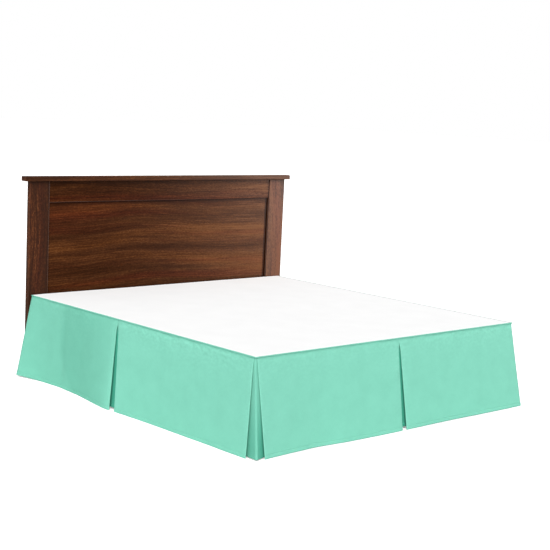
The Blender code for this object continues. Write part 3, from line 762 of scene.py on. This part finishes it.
def make_drop(name, side):
    """One drop: panel, inverted pleat and panel in a single length of cloth, with its hem.

    Its points are the plain hang plus the relief, which fades to none behind the panels.
    """
    gap_top = side.half_gap.top + LAYER_PITCH / 2
    before = Place(top=side.pleat.top - gap_top, hem=side.pleat.hem - side.half_gap.hem)
    after = Place(top=side.pleat.top + gap_top, hem=side.pleat.hem + side.half_gap.hem)
    first, second = panel_lines(side, side.start, before), panel_lines(side, after, side.end)
    into, into_share = half_pleat_lines(side, first[-1], -1)
    out_of, out_share = (part[::-1] for part in half_pleat_lines(side, second[0], 1))
    underlay = straight_lines(into[-1], out_of[0], round(2 * PLEAT_TUCK / COLUMN_STEP))
    lines = np.concatenate([first[:-1], into, underlay, out_of, second[1:]])
    relief_share = np.concatenate([
        np.ones(len(first) - 1), into_share, np.zeros(len(underlay)), out_share,
        np.ones(len(second) - 1),
    ])
    run, out, height, fall = hang_grid(lines)
    share = fall / (DROP_TOP - lines[:, HEM])
    from_pleat = run - mix(*side.pleat, share)
    stitched = STITCH_PULL * (1.0 - smooth_step(*STITCH_FALL, fall))
    run = run - from_pleat * stitched * np.exp(-(from_pleat / STITCH_REACH) ** 2)
    from_pleat = np.abs(from_pleat)
    calm = mix(PLEAT_CALM, 1.0, smooth_step(0.0, CALM_REACH, from_pleat))
    crinkle = CRINKLE * dapple(run, CRINKLE_STRETCH * fall, CRINKLE_PITCH, side.seed + 6)
    crinkle = crinkle * np.exp(-from_pleat / CRINKLE_REACH) * smooth_step(*CRINKLE_FALL, fall)
    relief = drop_relief(side, run, fall, share) * calm + crinkle
    edge = (side.corner, side.along, side.outward)
    points = along_edge(*edge, run, out + relief * relief_share, height)
    hand = handed(side.along, side.outward)
    # Painted shade inside the pleat, where the relief fades out.
    inside = PLEAT_SHADE * (1.0 - relief_share) * smooth_step(0.0, PLEAT_SHADE_FALL, fall)
    from_end = np.abs(run - mix(*side.start, share))
    # Painted highlight under the seam and beside the pleat's and the end's free edges.
    painted_highlight = painted_highlight_amount(side, run, fall, np.minimum(from_pleat, from_end)) * relief_share
    return finish_cloth(name, turn_hem(points, -hand), fall, hand > 0, side.shade(run, fall),
                        inside, painted_highlight)


def finish_cloth(name, points, fall, flip, shade, deep_shade, painted_highlight):
    """Make the piece of a hanging cloth from its grid, with UV metres and colour marks.

    The marks are given above the hem, and the hem's turned rows have those of the bottom row.
    """
    rows, columns = points.shape[:2]
    along, down = lengths(points[rows // 2]), lengths(points)
    uv = np.stack([np.broadcast_to(along, down.shape), down], axis=2)
    row = np.minimum(np.arange(rows), len(fall) - 1)
    # The marks of painted shade and painted highlight.
    marks = {"deep_shade": np.maximum(seam_shade(fall), deep_shade), "shade": shade, "painted_highlight": painted_highlight}
    marks = {mark: values[row] for mark, values in marks.items()}
    faces = grid_faces(rows, columns, flip=flip)
    piece = put_in_scene(name, points, faces, MINT, "mint_cloth", uv=uv, marks=marks)
    give_thickness(piece, CLOTH)
    return piece


drops = {
    "drop_left": make_drop("drop_cloth_left", LEFT),
    "drop_foot": make_drop("drop_cloth_foot", FOOT),
    "drop_right": make_drop("drop_cloth_right", RIGHT),
}

# ---------------------------------------------------------------- corner underlays

UNDERLAY_LEG = 0.120
UNDERLAY_INSET = 0.0028
UNDERLAY_SIDE_FALL_BACK = 0.008
UNDERLAY_FOOT_FALL_BACK = 0.034
UNDERLAY_HEM = 0.007
UNDERLAY_RADIUS_TOP = 0.003
UNDERLAY_RADIUS_HEM = 0.012
UNDERLAY_SHARES = np.linspace(1.0, 0.12, 14)
UNDERLAY_TURN = np.radians(np.linspace(6.0, 84.0, 13))
# How far an underlay's fold stands out past the bed's side and past its foot at the hem.
Apex = namedtuple("Apex", "side foot")
LEFT_APEX = Apex(side=0.039, foot=0.081)
RIGHT_APEX = Apex(side=0.023, foot=0.073)
# Painted shade in the recess: its colour deepens away from the ridge of the fold, more on one side,
# and down the cloth.
UNDERLAY_BASE_SHADE = 0.02
UNDERLAY_DEEP_SIDE, UNDERLAY_PALE_SIDE = 0.50, 0.20
UNDERLAY_DEEPENS = (0.1, 0.8)
UNDERLAY_DEEPENS_DOWN = (0.10, 0.45)
RIDGE_DEEP_SHADE, RIDGE_WIDTH = 0.04, 0.09
RIDGE_SHADE, RIDGE_REACH = 0.55, (0.03, 0.30)
UNDERLAY_TOP_SHADE, UNDERLAY_SHADE_FALL = 0.45, 0.1


def make_corner_underlay(name, hand, apex):
    """The underlay behind an open foot corner: two legs that meet in one soft upright fold.

    Each leg's lines run straight back from the fold, and the fold's own lie on a quarter circle.
    """
    reach = UNDERLAY_LEG * UNDERLAY_SHARES
    east, south = 1.0 - np.cos(UNDERLAY_TURN), 1.0 - np.sin(UNDERLAY_TURN)
    side_leg = cloth_lines(
        UNDERLAY_INSET, -UNDERLAY_INSET - reach,
        -apex.side + UNDERLAY_SIDE_FALL_BACK * UNDERLAY_SHARES, apex.foot - reach, UNDERLAY_HEM)
    fold = cloth_lines(
        UNDERLAY_INSET + UNDERLAY_RADIUS_TOP * east, -UNDERLAY_INSET - UNDERLAY_RADIUS_TOP * south,
        -apex.side + UNDERLAY_RADIUS_HEM * east, apex.foot - UNDERLAY_RADIUS_HEM * south,
        UNDERLAY_HEM)
    foot_leg = cloth_lines(
        UNDERLAY_INSET + reach, -UNDERLAY_INSET, -apex.side + reach,
        apex.foot - UNDERLAY_FOOT_FALL_BACK * UNDERLAY_SHARES, UNDERLAY_HEM)
    lines = np.concatenate([side_leg, fold, foot_leg[::-1]])
    run, out, height, fall = hang_grid(lines)
    points = np.stack([hand * (SIDE_X - run), FOOT_Y - out, height], axis=2)
    past_fold = (np.arange(len(lines)) - len(side_leg) - len(fold) / 2) / len(side_leg) * -hand
    from_fold = np.abs(past_fold)
    # Painted shade: the deep shade grows away from the fold's ridge, with a little on the ridge
    # itself; the plain shade is lighter on the ridge and near the top.
    deep = np.where(past_fold > 0, UNDERLAY_DEEP_SIDE, UNDERLAY_PALE_SIDE)
    deep_shade = UNDERLAY_BASE_SHADE + deep * smooth_step(*UNDERLAY_DEEPENS, from_fold)
    deep_shade = deep_shade + RIDGE_DEEP_SHADE * np.exp(-(from_fold / RIDGE_WIDTH) ** 2)
    deepens = smooth_step(*UNDERLAY_DEEPENS_DOWN, fall)
    shade = mix(RIDGE_SHADE, 1.0, smooth_step(*RIDGE_REACH, from_fold))
    shade = mix(UNDERLAY_TOP_SHADE, shade, deepens) * smooth_step(0.0, UNDERLAY_SHADE_FALL, fall)
    return finish_cloth(name, turn_hem(points, hand), fall, hand < 0, shade, deep_shade * deepens,
                        painted_highlight=0.0 * fall)


underlays = {
    "corner_underlay_left": make_corner_underlay("underlay_cloth_left", -1, LEFT_APEX),
    "corner_underlay_right": make_corner_underlay("underlay_cloth_right", 1, RIGHT_APEX),
}

# ---------------------------------------------------------------- platform cloth and edge band

DECK_INSET = 0.0004
DECK_THINNER = 0.0004
DECK_STEP = 0.018
DECK_RIM_SLOPE = (0.006, 0.02)
DECK_HEM, DECK_HEM_STEP, DECK_HEM_RISE = 0.014, 0.001, 0.0005
DECK_HEAD_INSET = 0.0006
# Faint swells: their height, the pitches of the wide and the narrow ones, and where they start.
SWELL, SWELL_PITCH, SWELL_START = 0.0009, 0.23, (0.02, 0.10)
NARROW_SWELL_SHARE, NARROW_SWELL_PITCH = 0.35, 0.08

# A band's section: how far it reaches over the platform, how far it stands off it, its thickness.
Fold = namedtuple("Fold", "on_top lift cloth")
NEAR_FOLD = Fold(on_top=0.0026, lift=0.0006, cloth=0.0009)
FAR_FOLD = Fold(on_top=0.0014, lift=0.0003, cloth=0.0004)
BAND_TOP_SHARES = np.array([-1.0, -0.6, -0.3])
BAND_BEND = np.radians(np.linspace(90.0, 0.0, 5))
BAND_STEP = 0.012
BAND_MITRE_GAP = 0.0006
BAND_SWAY, BAND_SWAY_PITCH, BAND_SWAY_FALL = 0.00035, 0.05, 0.006
# A little painted shade on the band.
BAND_SHADE = 0.03


def make_deck_cloth():
    """The platform cloth: a level sheet with faint swells, calm under the band, hemmed at the head."""
    columns, rows = round(BED_WIDTH / DECK_STEP), round(BED_LENGTH / DECK_STEP)
    hem_rows = HEAD_Y - np.array(
        [DECK_HEM + DECK_HEM_STEP, DECK_HEM, DECK_HEM / 2, DECK_HEAD_INSET])
    x = np.linspace(DECK_LOW[0] + DECK_INSET, SIDE_X - DECK_INSET, columns)
    y = np.linspace(FOOT_Y + DECK_INSET, hem_rows[0] - DECK_STEP, rows)
    x, y = np.meshgrid(x, np.concatenate([y, hem_rows]))
    inset = np.minimum(SIDE_X - np.abs(x), y - FOOT_Y)
    swell = 0.5 + 0.5 * dapple(x, y, SWELL_PITCH, 51)
    swell = swell + NARROW_SWELL_SHARE * (0.5 + 0.5 * dapple(x, y, NARROW_SWELL_PITCH, 52))
    on_rim = 1.0 - smooth_step(*DECK_RIM_SLOPE, inset)
    height = DECK_TOP - DECK_CLOTH / 2 - (DECK_TOP - RIM_TOP) * on_rim
    height = height + SWELL * swell * smooth_step(*SWELL_START, inset)
    height = height + DECK_HEM_RISE * (y > HEAD_Y - DECK_HEM - DECK_HEM_STEP / 2)
    piece = put_in_scene("platform_cloth", np.stack([x, y, height], axis=2), grid_faces(*x.shape),
                         WHITE, "white_cloth", uv=np.stack([x, y], axis=2))
    give_thickness(piece, DECK_CLOTH - DECK_THINNER)
    return piece


def make_band(name, start, end, outward, mitred, fold, seed):
    """The folded band over a seam: an L section with a bent corner, carried along the bed's edge.

    A mitred end is cut back by the point's own distance out, so that two bands meet at 45 degrees.
    """
    out = np.concatenate([
        BAND_TOP_SHARES * fold.on_top, fold.lift * np.cos(BAND_BEND), np.full(2, fold.lift)])
    rise = np.concatenate([
        np.full(3, fold.lift), fold.lift * np.sin(BAND_BEND), [-BAND_DOWN / 2, -BAND_DOWN]])
    start, end = np.array(start), np.array(end)
    length = np.linalg.norm(end - start)
    along = (end - start) / length
    share = np.linspace(0.0, 1.0, round(length / BAND_STEP))[:, None]
    run_start = (BAND_MITRE_GAP - out) if "start" in mitred else np.zeros(len(out))
    run_end = length - BAND_MITRE_GAP + out if "end" in mitred else np.full(len(out), length)
    run = mix(run_start, run_end, share)
    sway = BAND_SWAY * ripple(run, BAND_SWAY_PITCH, seed) * smooth_step(0.0, BAND_SWAY_FALL, -rise)
    height = RIM_TOP + np.broadcast_to(rise, run.shape)
    points = along_edge(start, along, outward, run, out + sway, height)
    across = lengths(np.stack([out, rise], axis=1))
    uv = np.stack([run, np.broadcast_to(across, run.shape)], axis=2)
    # The band carries a little painted shade.
    piece = put_in_scene(name, points, grid_faces(*run.shape, flip=handed(along, outward) > 0),
                         MINT, "mint_cloth", uv=uv, marks={"deep_shade": np.full(run.size, BAND_SHADE)})
    give_thickness(piece, fold.cloth)
    return piece


deck_cloth = make_deck_cloth()

FOOT_LEFT, FOOT_RIGHT = (-SIDE_X, FOOT_Y), (SIDE_X, FOOT_Y)
HEAD_LEFT, HEAD_RIGHT = (-SIDE_X, HEAD_Y), (SIDE_X, HEAD_Y)
bands = {
    "edge_band_left": make_band(
        "band_cloth_left", FOOT_LEFT, HEAD_LEFT, (-1, 0), ("start",), NEAR_FOLD, 61),
    "edge_band_foot": make_band(
        "band_cloth_foot", FOOT_LEFT, FOOT_RIGHT, (0, -1), ("start", "end"), NEAR_FOLD, 62),
    "edge_band_right": make_band(
        "band_cloth_right", FOOT_RIGHT, HEAD_RIGHT, (1, 0), ("start",), FAR_FOLD, 63),
}

cloths = {**drops, **underlays, "deck": deck_cloth, **bands}
for node, piece in cloths.items():
    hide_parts(node)

# ---------------------------------------------------------------- rounded blocks and turned pieces

ARC_STEPS = 4
# The sides of a box are joined where their points fall in one cell of a fine grid.  The shift, a
# share of a cell, keeps round measures away from the cells' edges.
WELD, WELD_SHIFT = 1e-6, 0.31


def rounded_box(low, high, radius, flat_step=10.0):
    """Points, faces and normals of a box with rounded edges.

    Each side is a grid.  A point's core lies on the box shrunk by the radius, and the point is the
    core plus the radius along a unit direction that leans up to 45 degrees towards the edges.
    `flat_step` is the widest step over a side's flat part.
    """
    centre, inner = (low + high) / 2, (high - low) / 2 - radius
    lean = np.tan(np.linspace(0.0, math.pi / 4, ARC_STEPS + 1)[1:])

    def stations(axis):
        """Where the core lies and how far the direction leans, for each step along an axis."""
        count = max(2, math.ceil(2 * inner[axis] / flat_step) + 1)
        ends = np.full(ARC_STEPS, inner[axis])
        return (np.concatenate([-ends, np.linspace(-inner[axis], inner[axis], count), ends]),
                np.concatenate([-lean[::-1], np.zeros(count), lean]))

    points, normals, faces, total = [], [], [], 0
    for normal in range(3):
        first, second = (normal + 1) % 3, (normal + 2) % 3
        (core_a, lean_a), (core_b, lean_b) = stations(first), stations(second)
        for sign in (-1, 1):
            shape = (len(core_b), len(core_a), 3)
            core, way = np.empty(shape), np.empty(shape)
            core[..., first], way[..., first] = core_a, lean_a
            core[..., second], way[..., second] = core_b[:, None], lean_b[:, None]
            core[..., normal], way[..., normal] = sign * inner[normal], sign
            way /= np.linalg.norm(way, axis=2, keepdims=True)
            points.append((centre + core + radius * way).reshape(-1, 3))
            normals.append(way.reshape(-1, 3))
            faces.append(grid_faces(*shape[:2], first=total, flip=sign < 0))
            total += len(core_a) * len(core_b)
    points, normals, faces = (np.concatenate(part) for part in (points, normals, faces))
    cells = np.round(points / WELD + WELD_SHIFT).astype(np.int64)
    _, kept, number = np.unique(cells, axis=0, return_index=True, return_inverse=True)
    return points[kept], number.ravel()[faces], normals[kept]


def turned(profile, sides, centre, axis=2):
    """A profile of (radius, height) rows carried round an upright or level axis, ends closed."""
    profile = np.array(profile)
    angle = np.linspace(0.0, 2.0 * math.pi, sides, endpoint=False)
    points = np.empty((len(profile), sides, 3))
    points[..., (axis + 1) % 3] = profile[:, :1] * np.cos(angle)
    points[..., (axis + 2) % 3] = profile[:, :1] * np.sin(angle)
    points[..., axis] = profile[:, 1:]
    return points + np.array(centre), barrel_faces(len(profile), sides)


# ---------------------------------------------------------------- headboard

WALNUT = walnut()
BOARD_STEP = 0.010
SHADOW_REACH = 0.014
# Where the painted sheen and the lighter tone, partly painted reflection, that grow towards the right
# begin and end.
RIGHTWARD = (0.25, 1.05)
# An eased edge gets a painted highlight where the surface turns round, and more where it faces the way
# the board's highlight faces.
EDGE_TURN, EDGE_SHEEN, FACING_EDGE_SHEEN = (0.02, 0.25), 0.08, 1.05
# The left post darkens from its left to its right, and its painted edge highlight is stronger.
LEFT_POST_FADE, LEFT_POST_EDGE_SHEEN = 0.34, 2.2
# Painted shadow in the reveals beside the right post: on the panel, at the top rail's end, on the post
# itself.
CORNER_SHADOW, CORNER_REACH = 1.10, (0.030, 0.008)
RAIL_END_REACH = 0.005
INNER_SHADOW, INNER_FACING = 0.7, (0.5, 0.9)

# A board: its node, the axis its grain runs along, where it was cut from the log, how far the
# grain is spread and how strong it is, how light the board is at its left and right ends (partly
# the wood's tone and partly painted reflection) and how much painted sheen it has there, the way its
# painted edge highlight faces, how much painted shadow darkens it under the board above, and how far
# its edges are rounded.
Board = namedtuple("Board", "node along cut scale figure tone worn pale_edge polish edge")
BOARDS = (
    Board(node="headboard_post_left", along=2, cut=(0.0, 3.10, 0.0), scale=0.55, figure=1.5,
          tone=(0.08, 0.08), worn=(0.06, 0.06), pale_edge=(1, 0, 0), polish=0.30, edge=0.0060),
    Board(node="headboard_post_right", along=2, cut=(7.3, 1.70, 0.4), scale=0.55, figure=1.9,
          tone=(0.80, 0.80), worn=(0.28, 0.28), pale_edge=(1, 0, 0), polish=0.30, edge=0.0035),
    Board(node="headboard_cap", along=0, cut=(3.1, 5.20, 0.9), scale=1.0, figure=1.0,
          tone=(0.46, 0.72), worn=(0.04, 0.20), pale_edge=(0, 0, 0), polish=0.00, edge=0.0045),
    Board(node="headboard_top_rail", along=0, cut=(11.2, 8.4, 0.2), scale=1.0, figure=1.1,
          tone=(0.36, 0.82), worn=(0.00, 0.08), pale_edge=(0, 0, -1), polish=0.30, edge=0.0035),
    Board(node="headboard_panel", along=0, cut=(5.7, 2.60, 0.6), scale=1.0, figure=0.9,
          tone=(0.52, 0.80), worn=(0.00, 0.06), pale_edge=(0, 0, 0), polish=0.45, edge=0.0006),
    Board(node="headboard_low_rail", along=0, cut=(9.9, 6.60, 0.3), scale=1.0, figure=1.0,
          tone=(0.42, 0.60), worn=(0.00, 0.05), pale_edge=(0, 0, 1), polish=0.20, edge=0.0035),
)
# For grain along X or Z, the axes that lie along, across and through the log.
LOG_AXES = {0: (0, 2, 1), 2: (2, 0, 1)}
HEADBOARD_LEFT = node_box("headboard_post_left")[0][0]
HEADBOARD_RIGHT = node_box("headboard_post_right")[1][0]
RAIL_BOTTOM = node_box("headboard_top_rail")[0][2]


def make_board(board):
    """A walnut board in its node's box, with eased edges lightened by a painted highlight.

    `tone`, partly painted reflection, and the painted sheen change along the headboard in an S-curve,
    and a painted shadow darkens the tone by an exponential fall below the board above.  The left post
    darkens from its left to its right, and the reveals beside the right post are darkened by painted
    shadow.
    """
    low, high = node_box(board.node)
    points, faces, normals = rounded_box(low, high, board.edge, flat_step=BOARD_STEP)
    x, height = points[:, 0], points[:, 2]
    rightward = smooth_step(*RIGHTWARD, (x - HEADBOARD_LEFT) / (HEADBOARD_RIGHT - HEADBOARD_LEFT))
    turn = smooth_step(*EDGE_TURN, 1.0 - np.abs(normals).max(axis=1))
    facing = np.maximum(normals @ np.array(board.pale_edge, float), 0.0)
    from_post = np.maximum(high[0] - x, 0.0)
    face_top = RAIL_BOTTOM if board.node == "headboard_panel" else high[2]
    # The tone lightens towards the right, partly the wood's own tone and partly painted reflection.
    tone = mix(*board.tone, rightward)
    # Painted shadow below the board above.
    tone = tone - board.polish * np.exp(-np.maximum(face_top - height, 0.0) / SHADOW_REACH)
    if board.node == "headboard_panel":
        # Painted shadow on the panel in the reveal beside the right post.
        shadowed = smooth_step(*CORNER_REACH, from_post)
        tone = tone - CORNER_SHADOW * shadowed
        rightward = rightward * (1.0 - shadowed)
    if board.node == "headboard_top_rail":
        # Painted shadow at the top rail's end beside the right post; the rail's edge highlight fades
        # to the right.
        tone = tone - CORNER_SHADOW * np.exp(-from_post / RAIL_END_REACH)
        facing = facing * (1.0 - rightward)
    if board.node == "headboard_post_left":
        tone = tone + LEFT_POST_FADE * (0.5 - (x - low[0]) / (high[0] - low[0]))
        # A stronger painted highlight on the left post's inner edge.
        facing = facing * LEFT_POST_EDGE_SHEEN
    if board.node == "headboard_post_right":
        # Painted shadow on the right post's inner face.
        inner_face = smooth_step(*INNER_FACING, -normals[:, 0])
        tone = tone - INNER_SHADOW * inner_face
        rightward = rightward * (1.0 - inner_face)
    across_grain = np.array((1.0, board.scale, board.scale))
    marks = {
        "grain": points[:, LOG_AXES[board.along]] * across_grain + np.array(board.cut),
        "figure": np.full(len(points), board.figure),
        "tone": tone,
        # Painted reflection haze growing to the right, and painted highlight on the eased edges.
        "worn": mix(*board.worn, rightward) + turn * (EDGE_SHEEN + FACING_EDGE_SHEEN * facing),
    }
    name = board.node.replace("headboard", "walnut")
    piece = put_in_scene(name, points, faces, WALNUT, "walnut", marks=marks, normals=normals)
    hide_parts(board.node)


for board in BOARDS:
    make_board(board)

# ---------------------------------------------------------------- covered foundation

FOUNDATION_CORNER = 0.035
FOUNDATION_STEP = 0.030
CORNER_TURN = np.linspace(0.0, math.pi / 2, 9)
WELT_RADIUS = 0.0042
WELT_INSET = 0.0062
WELT_TURN = np.radians(np.linspace(-100.0, 75.0, 9))
WELT_SEAM = 0.001
FLAT_INSETS = (0.030, 0.018, 0.010)
LINING_TOP = 0.0004
TICKING_INSET = 0.0050
TICKING_BULGE = 0.0022
TICKING_ROWS = 18
DIMPLE, DIMPLE_RUN, DIMPLE_FALL = 0.0011, 0.021, 0.022
TICKING_SWELL, TICKING_SWELL_PITCH = 0.0008, 0.11
CLOSING_RUN = 0.12


def rounded_outline(low, high):
    """A rectangle with rounded corners, seen from above.

    A point is its core, on the rectangle shrunk by the corner's radius, plus the radius along an
    outward direction; the directions turn through 90 degrees at each corner.
    """
    centre, inner = (low + high)[:2] / 2, (high - low)[:2] / 2 - FOUNDATION_CORNER
    cores, angles = [], []
    for turn, (side_x, side_y) in enumerate(((1, 1), (-1, 1), (-1, -1), (1, -1))):
        corner, after = centre + inner * (side_x, side_y), centre + inner * (-side_y, side_x)
        count = round(np.linalg.norm(after - corner) / FOUNDATION_STEP)
        share = np.linspace(0.0, 1.0, count + 1)[1:-1, None]
        angle = turn * math.pi / 2 + CORNER_TURN
        cores += [np.tile(corner, (len(angle), 1)), mix(corner, after, share)]
        angles += [angle, np.full(len(share), angle[-1])]
    angle = np.concatenate(angles)
    return np.concatenate(cores), np.stack([np.cos(angle), np.sin(angle)], axis=1)


def foundation_profile(height):
    """Columns of inset, height and share up the side: lining, welt, ticking, welt and top."""
    welt_in = WELT_INSET - WELT_RADIUS * np.cos(WELT_TURN)
    welt_up = WELT_RADIUS + WELT_RADIUS * np.sin(WELT_TURN)
    share = 0.5 - 0.5 * np.cos(np.linspace(0.0, math.pi, TICKING_ROWS))
    side_in = TICKING_INSET - TICKING_BULGE * np.sin(share * math.pi)
    foot = 2 * WELT_RADIUS + WELT_SEAM
    end_in = np.concatenate([FLAT_INSETS, welt_in])
    end_up = np.concatenate([np.zeros(len(FLAT_INSETS)), welt_up])
    return (
        np.concatenate([end_in, side_in, end_in[::-1]]),
        np.concatenate([end_up, mix(foot, height - foot, share), height - end_up[::-1]]),
        np.concatenate([np.zeros(len(end_in)), share, np.ones(len(end_in))]),
    )


def make_foundation(node, seed):
    """Half of the foundation: ticking over a box, with a corded welt round its top and bottom.

    The profile is carried round the outline.  Between the welts the ticking stands out in a low
    bow, dimpled by short puckers that fade away from each welt, and a flat face closes each end.
    """
    low, high = node_box(node)
    core, outward = rounded_outline(low, high)
    profile = foundation_profile(high[2] - low[2])
    inset, rise, share = (column[:, None] for column in profile)
    run = lengths(core + FOUNDATION_CORNER * outward)
    from_welt = np.minimum(rise, high[2] - low[2] - rise)
    relief = DIMPLE * ripple(run, DIMPLE_RUN, seed) * np.exp(-from_welt / DIMPLE_FALL)
    relief = relief + TICKING_SWELL * dapple(run + 0.0 * rise, rise, TICKING_SWELL_PITCH, seed + 1)
    closing = smooth_step(0.0, CLOSING_RUN, run) * smooth_step(0.0, CLOSING_RUN, run[-1] - run)
    stand = FOUNDATION_CORNER - inset + relief * closing * ((share > 0.0) & (share < 1.0))
    points = np.concatenate([
        core + outward * stand[..., None],
        np.broadcast_to(low[2] + rise, stand.shape)[..., None],
    ], axis=2)
    up = lengths(np.stack(profile[:2], axis=1))[:, None]
    lining = np.broadcast_to(rise < LINING_TOP, stand.shape).astype(float)
    piece = put_in_scene(node + "_cover", points, barrel_faces(*stand.shape), TICKING,
                         "foundation_cloth", uv=np.stack(np.broadcast_arrays(run, up), axis=2),
                         marks={"lining": lining})
    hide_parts(node)


make_foundation("foundation_left", 71)
make_foundation("foundation_right", 75)

# ---------------------------------------------------------------- steel frame

TUBE_EDGE = 0.0032
LEG_SIDES = 48
LEG_RADIUS = 0.0190
# A leg's outline, (radius, height): a domed glide, a threaded neck's collar and the tube, and its
# top end, measured down from the leg's top.
LEG_PROFILE = (
    (0.0215, 0.0000), (0.0245, 0.0006), (0.0257, 0.0024), (0.0260, 0.0050), (0.0260, 0.0105),
    (0.0256, 0.0128), (0.0244, 0.0142), (0.0200, 0.0178), (0.0193, 0.0192), (LEG_RADIUS, 0.0215),
    (LEG_RADIUS, 0.0235), (0.0182, 0.0240), (0.0182, 0.0246), (LEG_RADIUS, 0.0251),
    (LEG_RADIUS, 0.0300), (LEG_RADIUS, 0.060),
)
LEG_END = ((LEG_RADIUS, 0.0012), (0.0186, 0.0004), (0.0178, 0.0))
BOLT_HEIGHTS = (0.162, 0.196)
BOLT_RADIUS = 0.0075
BOLT_HEAD = 0.0052
# Each part of a bolt: its sides, and (share of the bolt's radius, height) rows.
BOLT_PARTS = {
    "washer": (32, ((1.25, 0.0), (1.30, 0.0004), (1.25, 0.0010), (0.90, 0.0011))),
    "head": (6, ((0.98, 0.0012), (1.00, 0.0016), (1.00, BOLT_HEAD - 0.0006), (0.92, BOLT_HEAD))),
}


def make_tube(node):
    """A square steel bar in its node's box, its edges rounded."""
    points, faces, normals = rounded_box(*node_box(node), TUBE_EDGE)
    piece = put_in_scene(node + "_bar", points, faces, STEEL, "dark_steel", normals=normals)
    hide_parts(node)


def make_leg(node):
    """A turned leg: the glide and collar of the outline above, then a straight tube to the top."""
    low, high = node_box(node)
    profile = LEG_PROFILE + tuple((radius, high[2] - down) for radius, down in LEG_END)
    centre = (*(low + high)[:2] / 2, 0.0)
    piece = put_in_scene(node + "_turned", *turned(profile, LEG_SIDES, centre), STEEL, "dark_steel")
    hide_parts(node)


def make_bolt(name, place):
    """A hexagonal bolt head on a washer: outlines carried round a level axis, then mirrored."""
    for part, (sides, profile) in BOLT_PARTS.items():
        profile = [(share * BOLT_RADIUS, height) for share, height in profile]
        points, faces = turned(profile, sides, (0.0, 0.0, 0.0), axis=1)
        piece = put_in_scene(name + "_" + part, points * (1.0, -1.0, 1.0) + np.array(place),
                             [face[::-1] for face in faces], ZINC, "dark_steel")
        piece.data.shade_flat()


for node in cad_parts:
    if node.startswith(("rail_", "crossbar_")):
        make_tube(node)
    if node.startswith("leg_"):
        make_leg(node)

for node in ("bracket_left", "bracket_right"):
    low, high = node_box(node)
    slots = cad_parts[node].data.materials
    slots.clear()
    slots.append(STEEL)
    for number, height in enumerate(BOLT_HEIGHTS):
        make_bolt(node + "_bolt_" + str(number), ((low[0] + high[0]) / 2, low[1], height))

# ---------------------------------------------------------------- floor, light and camera

FLOOR_HALF = 60.0
SKY_GLOW = 0.35


def add_object(name, data):
    """An object in the scene that isn't part of the bed."""
    thing = bpy.data.objects.new(name, data)
    bpy.context.scene.collection.objects.link(thing)
    return thing


floor_mesh = bpy.data.meshes.new("floor")
floor_points = np.array([[-1, -1, 0], [1, -1, 0], [1, 1, 0], [-1, 1, 0]]) * FLOOR_HALF
floor_mesh.from_pydata(floor_points.tolist(), [], [(0, 1, 2, 3)])
floor_mesh.materials.append(floor_finish())
add_object("floor", floor_mesh)

# The sky lights the bed softly, and is plain white where the camera sees it.
world = bpy.data.worlds.new("studio")
world.use_nodes = True
bpy.context.scene.world = world
nodes, links = world.node_tree.nodes, world.node_tree.links
choose = nodes.new("ShaderNodeMixShader")
links.new(nodes.new("ShaderNodeLightPath").outputs["Is Camera Ray"], choose.inputs[0])
links.new(choose.outputs[0], nodes["World Output"].inputs["Surface"])
backgrounds = ((nodes["Background"], SKY_GLOW), (nodes.new("ShaderNodeBackground"), 1.0))
for place, (background, strength) in enumerate(backgrounds, start=1):
    background.inputs["Color"].default_value = colour(1.0, 1.0, 1.0)
    background.inputs["Strength"].default_value = strength
    links.new(background.outputs[0], choose.inputs[place])


def add_light(name, kind, towards, strength, **settings):
    """A light of a kind that shines along a direction."""
    lamp = bpy.data.lights.new(name, kind)
    lamp.energy = strength
    for key, value in settings.items():
        setattr(lamp, key, value)
    light = add_object(name, lamp)
    light.rotation_mode = "QUATERNION"
    light.rotation_quaternion = Vector(towards).to_track_quat("-Z", "Y")
    return light


# The window shows only in glossy surfaces.
WINDOW_PLACE, WINDOW_TARGET = Vector((6.0, -3.6, 0.9)), Vector((0.5, 1.0, 0.8))
WINDOW_STRENGTH, WINDOW_WIDTH, WINDOW_HEIGHT = 500.0, 1.4, 2.4
window = add_light("window_gloss", "AREA", WINDOW_TARGET - WINDOW_PLACE, WINDOW_STRENGTH,
                   shape="RECTANGLE", size=WINDOW_WIDTH, size_y=WINDOW_HEIGHT)
window.location = WINDOW_PLACE
window.visible_diffuse = False
KEY_TOWARDS, KEY_STRENGTH, KEY_SPREAD = (0.455, 0.455, -0.766), 3.5, math.radians(35)
add_light("key", "SUN", KEY_TOWARDS, KEY_STRENGTH, angle=KEY_SPREAD)

# The camera stands at the photographed angle: yaw from +Y towards +X, pitch, then roll.
CAMERA_PLACE = (-4.814, -5.305, 1.681)
CAMERA_YAW = math.radians(42.35)
CAMERA_PITCH = math.radians(-7.90)
CAMERA_ROLL = math.radians(2.72)
CAMERA_LENS = 80.93
CAMERA_SENSOR = 36.0
lens = bpy.data.cameras.new("camera")
lens.lens = CAMERA_LENS
lens.sensor_width = CAMERA_SENSOR
lens.sensor_fit = "HORIZONTAL"
camera = add_object("camera", lens)
camera.matrix_world = (
    Matrix.Translation(CAMERA_PLACE) @ Matrix.Rotation(-CAMERA_YAW, 4, "Z")
    @ Matrix.Rotation(math.pi / 2 + CAMERA_PITCH, 4, "X") @ Matrix.Rotation(CAMERA_ROLL, 4, "Z"))
bpy.context.scene.camera = camera
bpy.context.scene.view_settings.view_transform = "Standard"
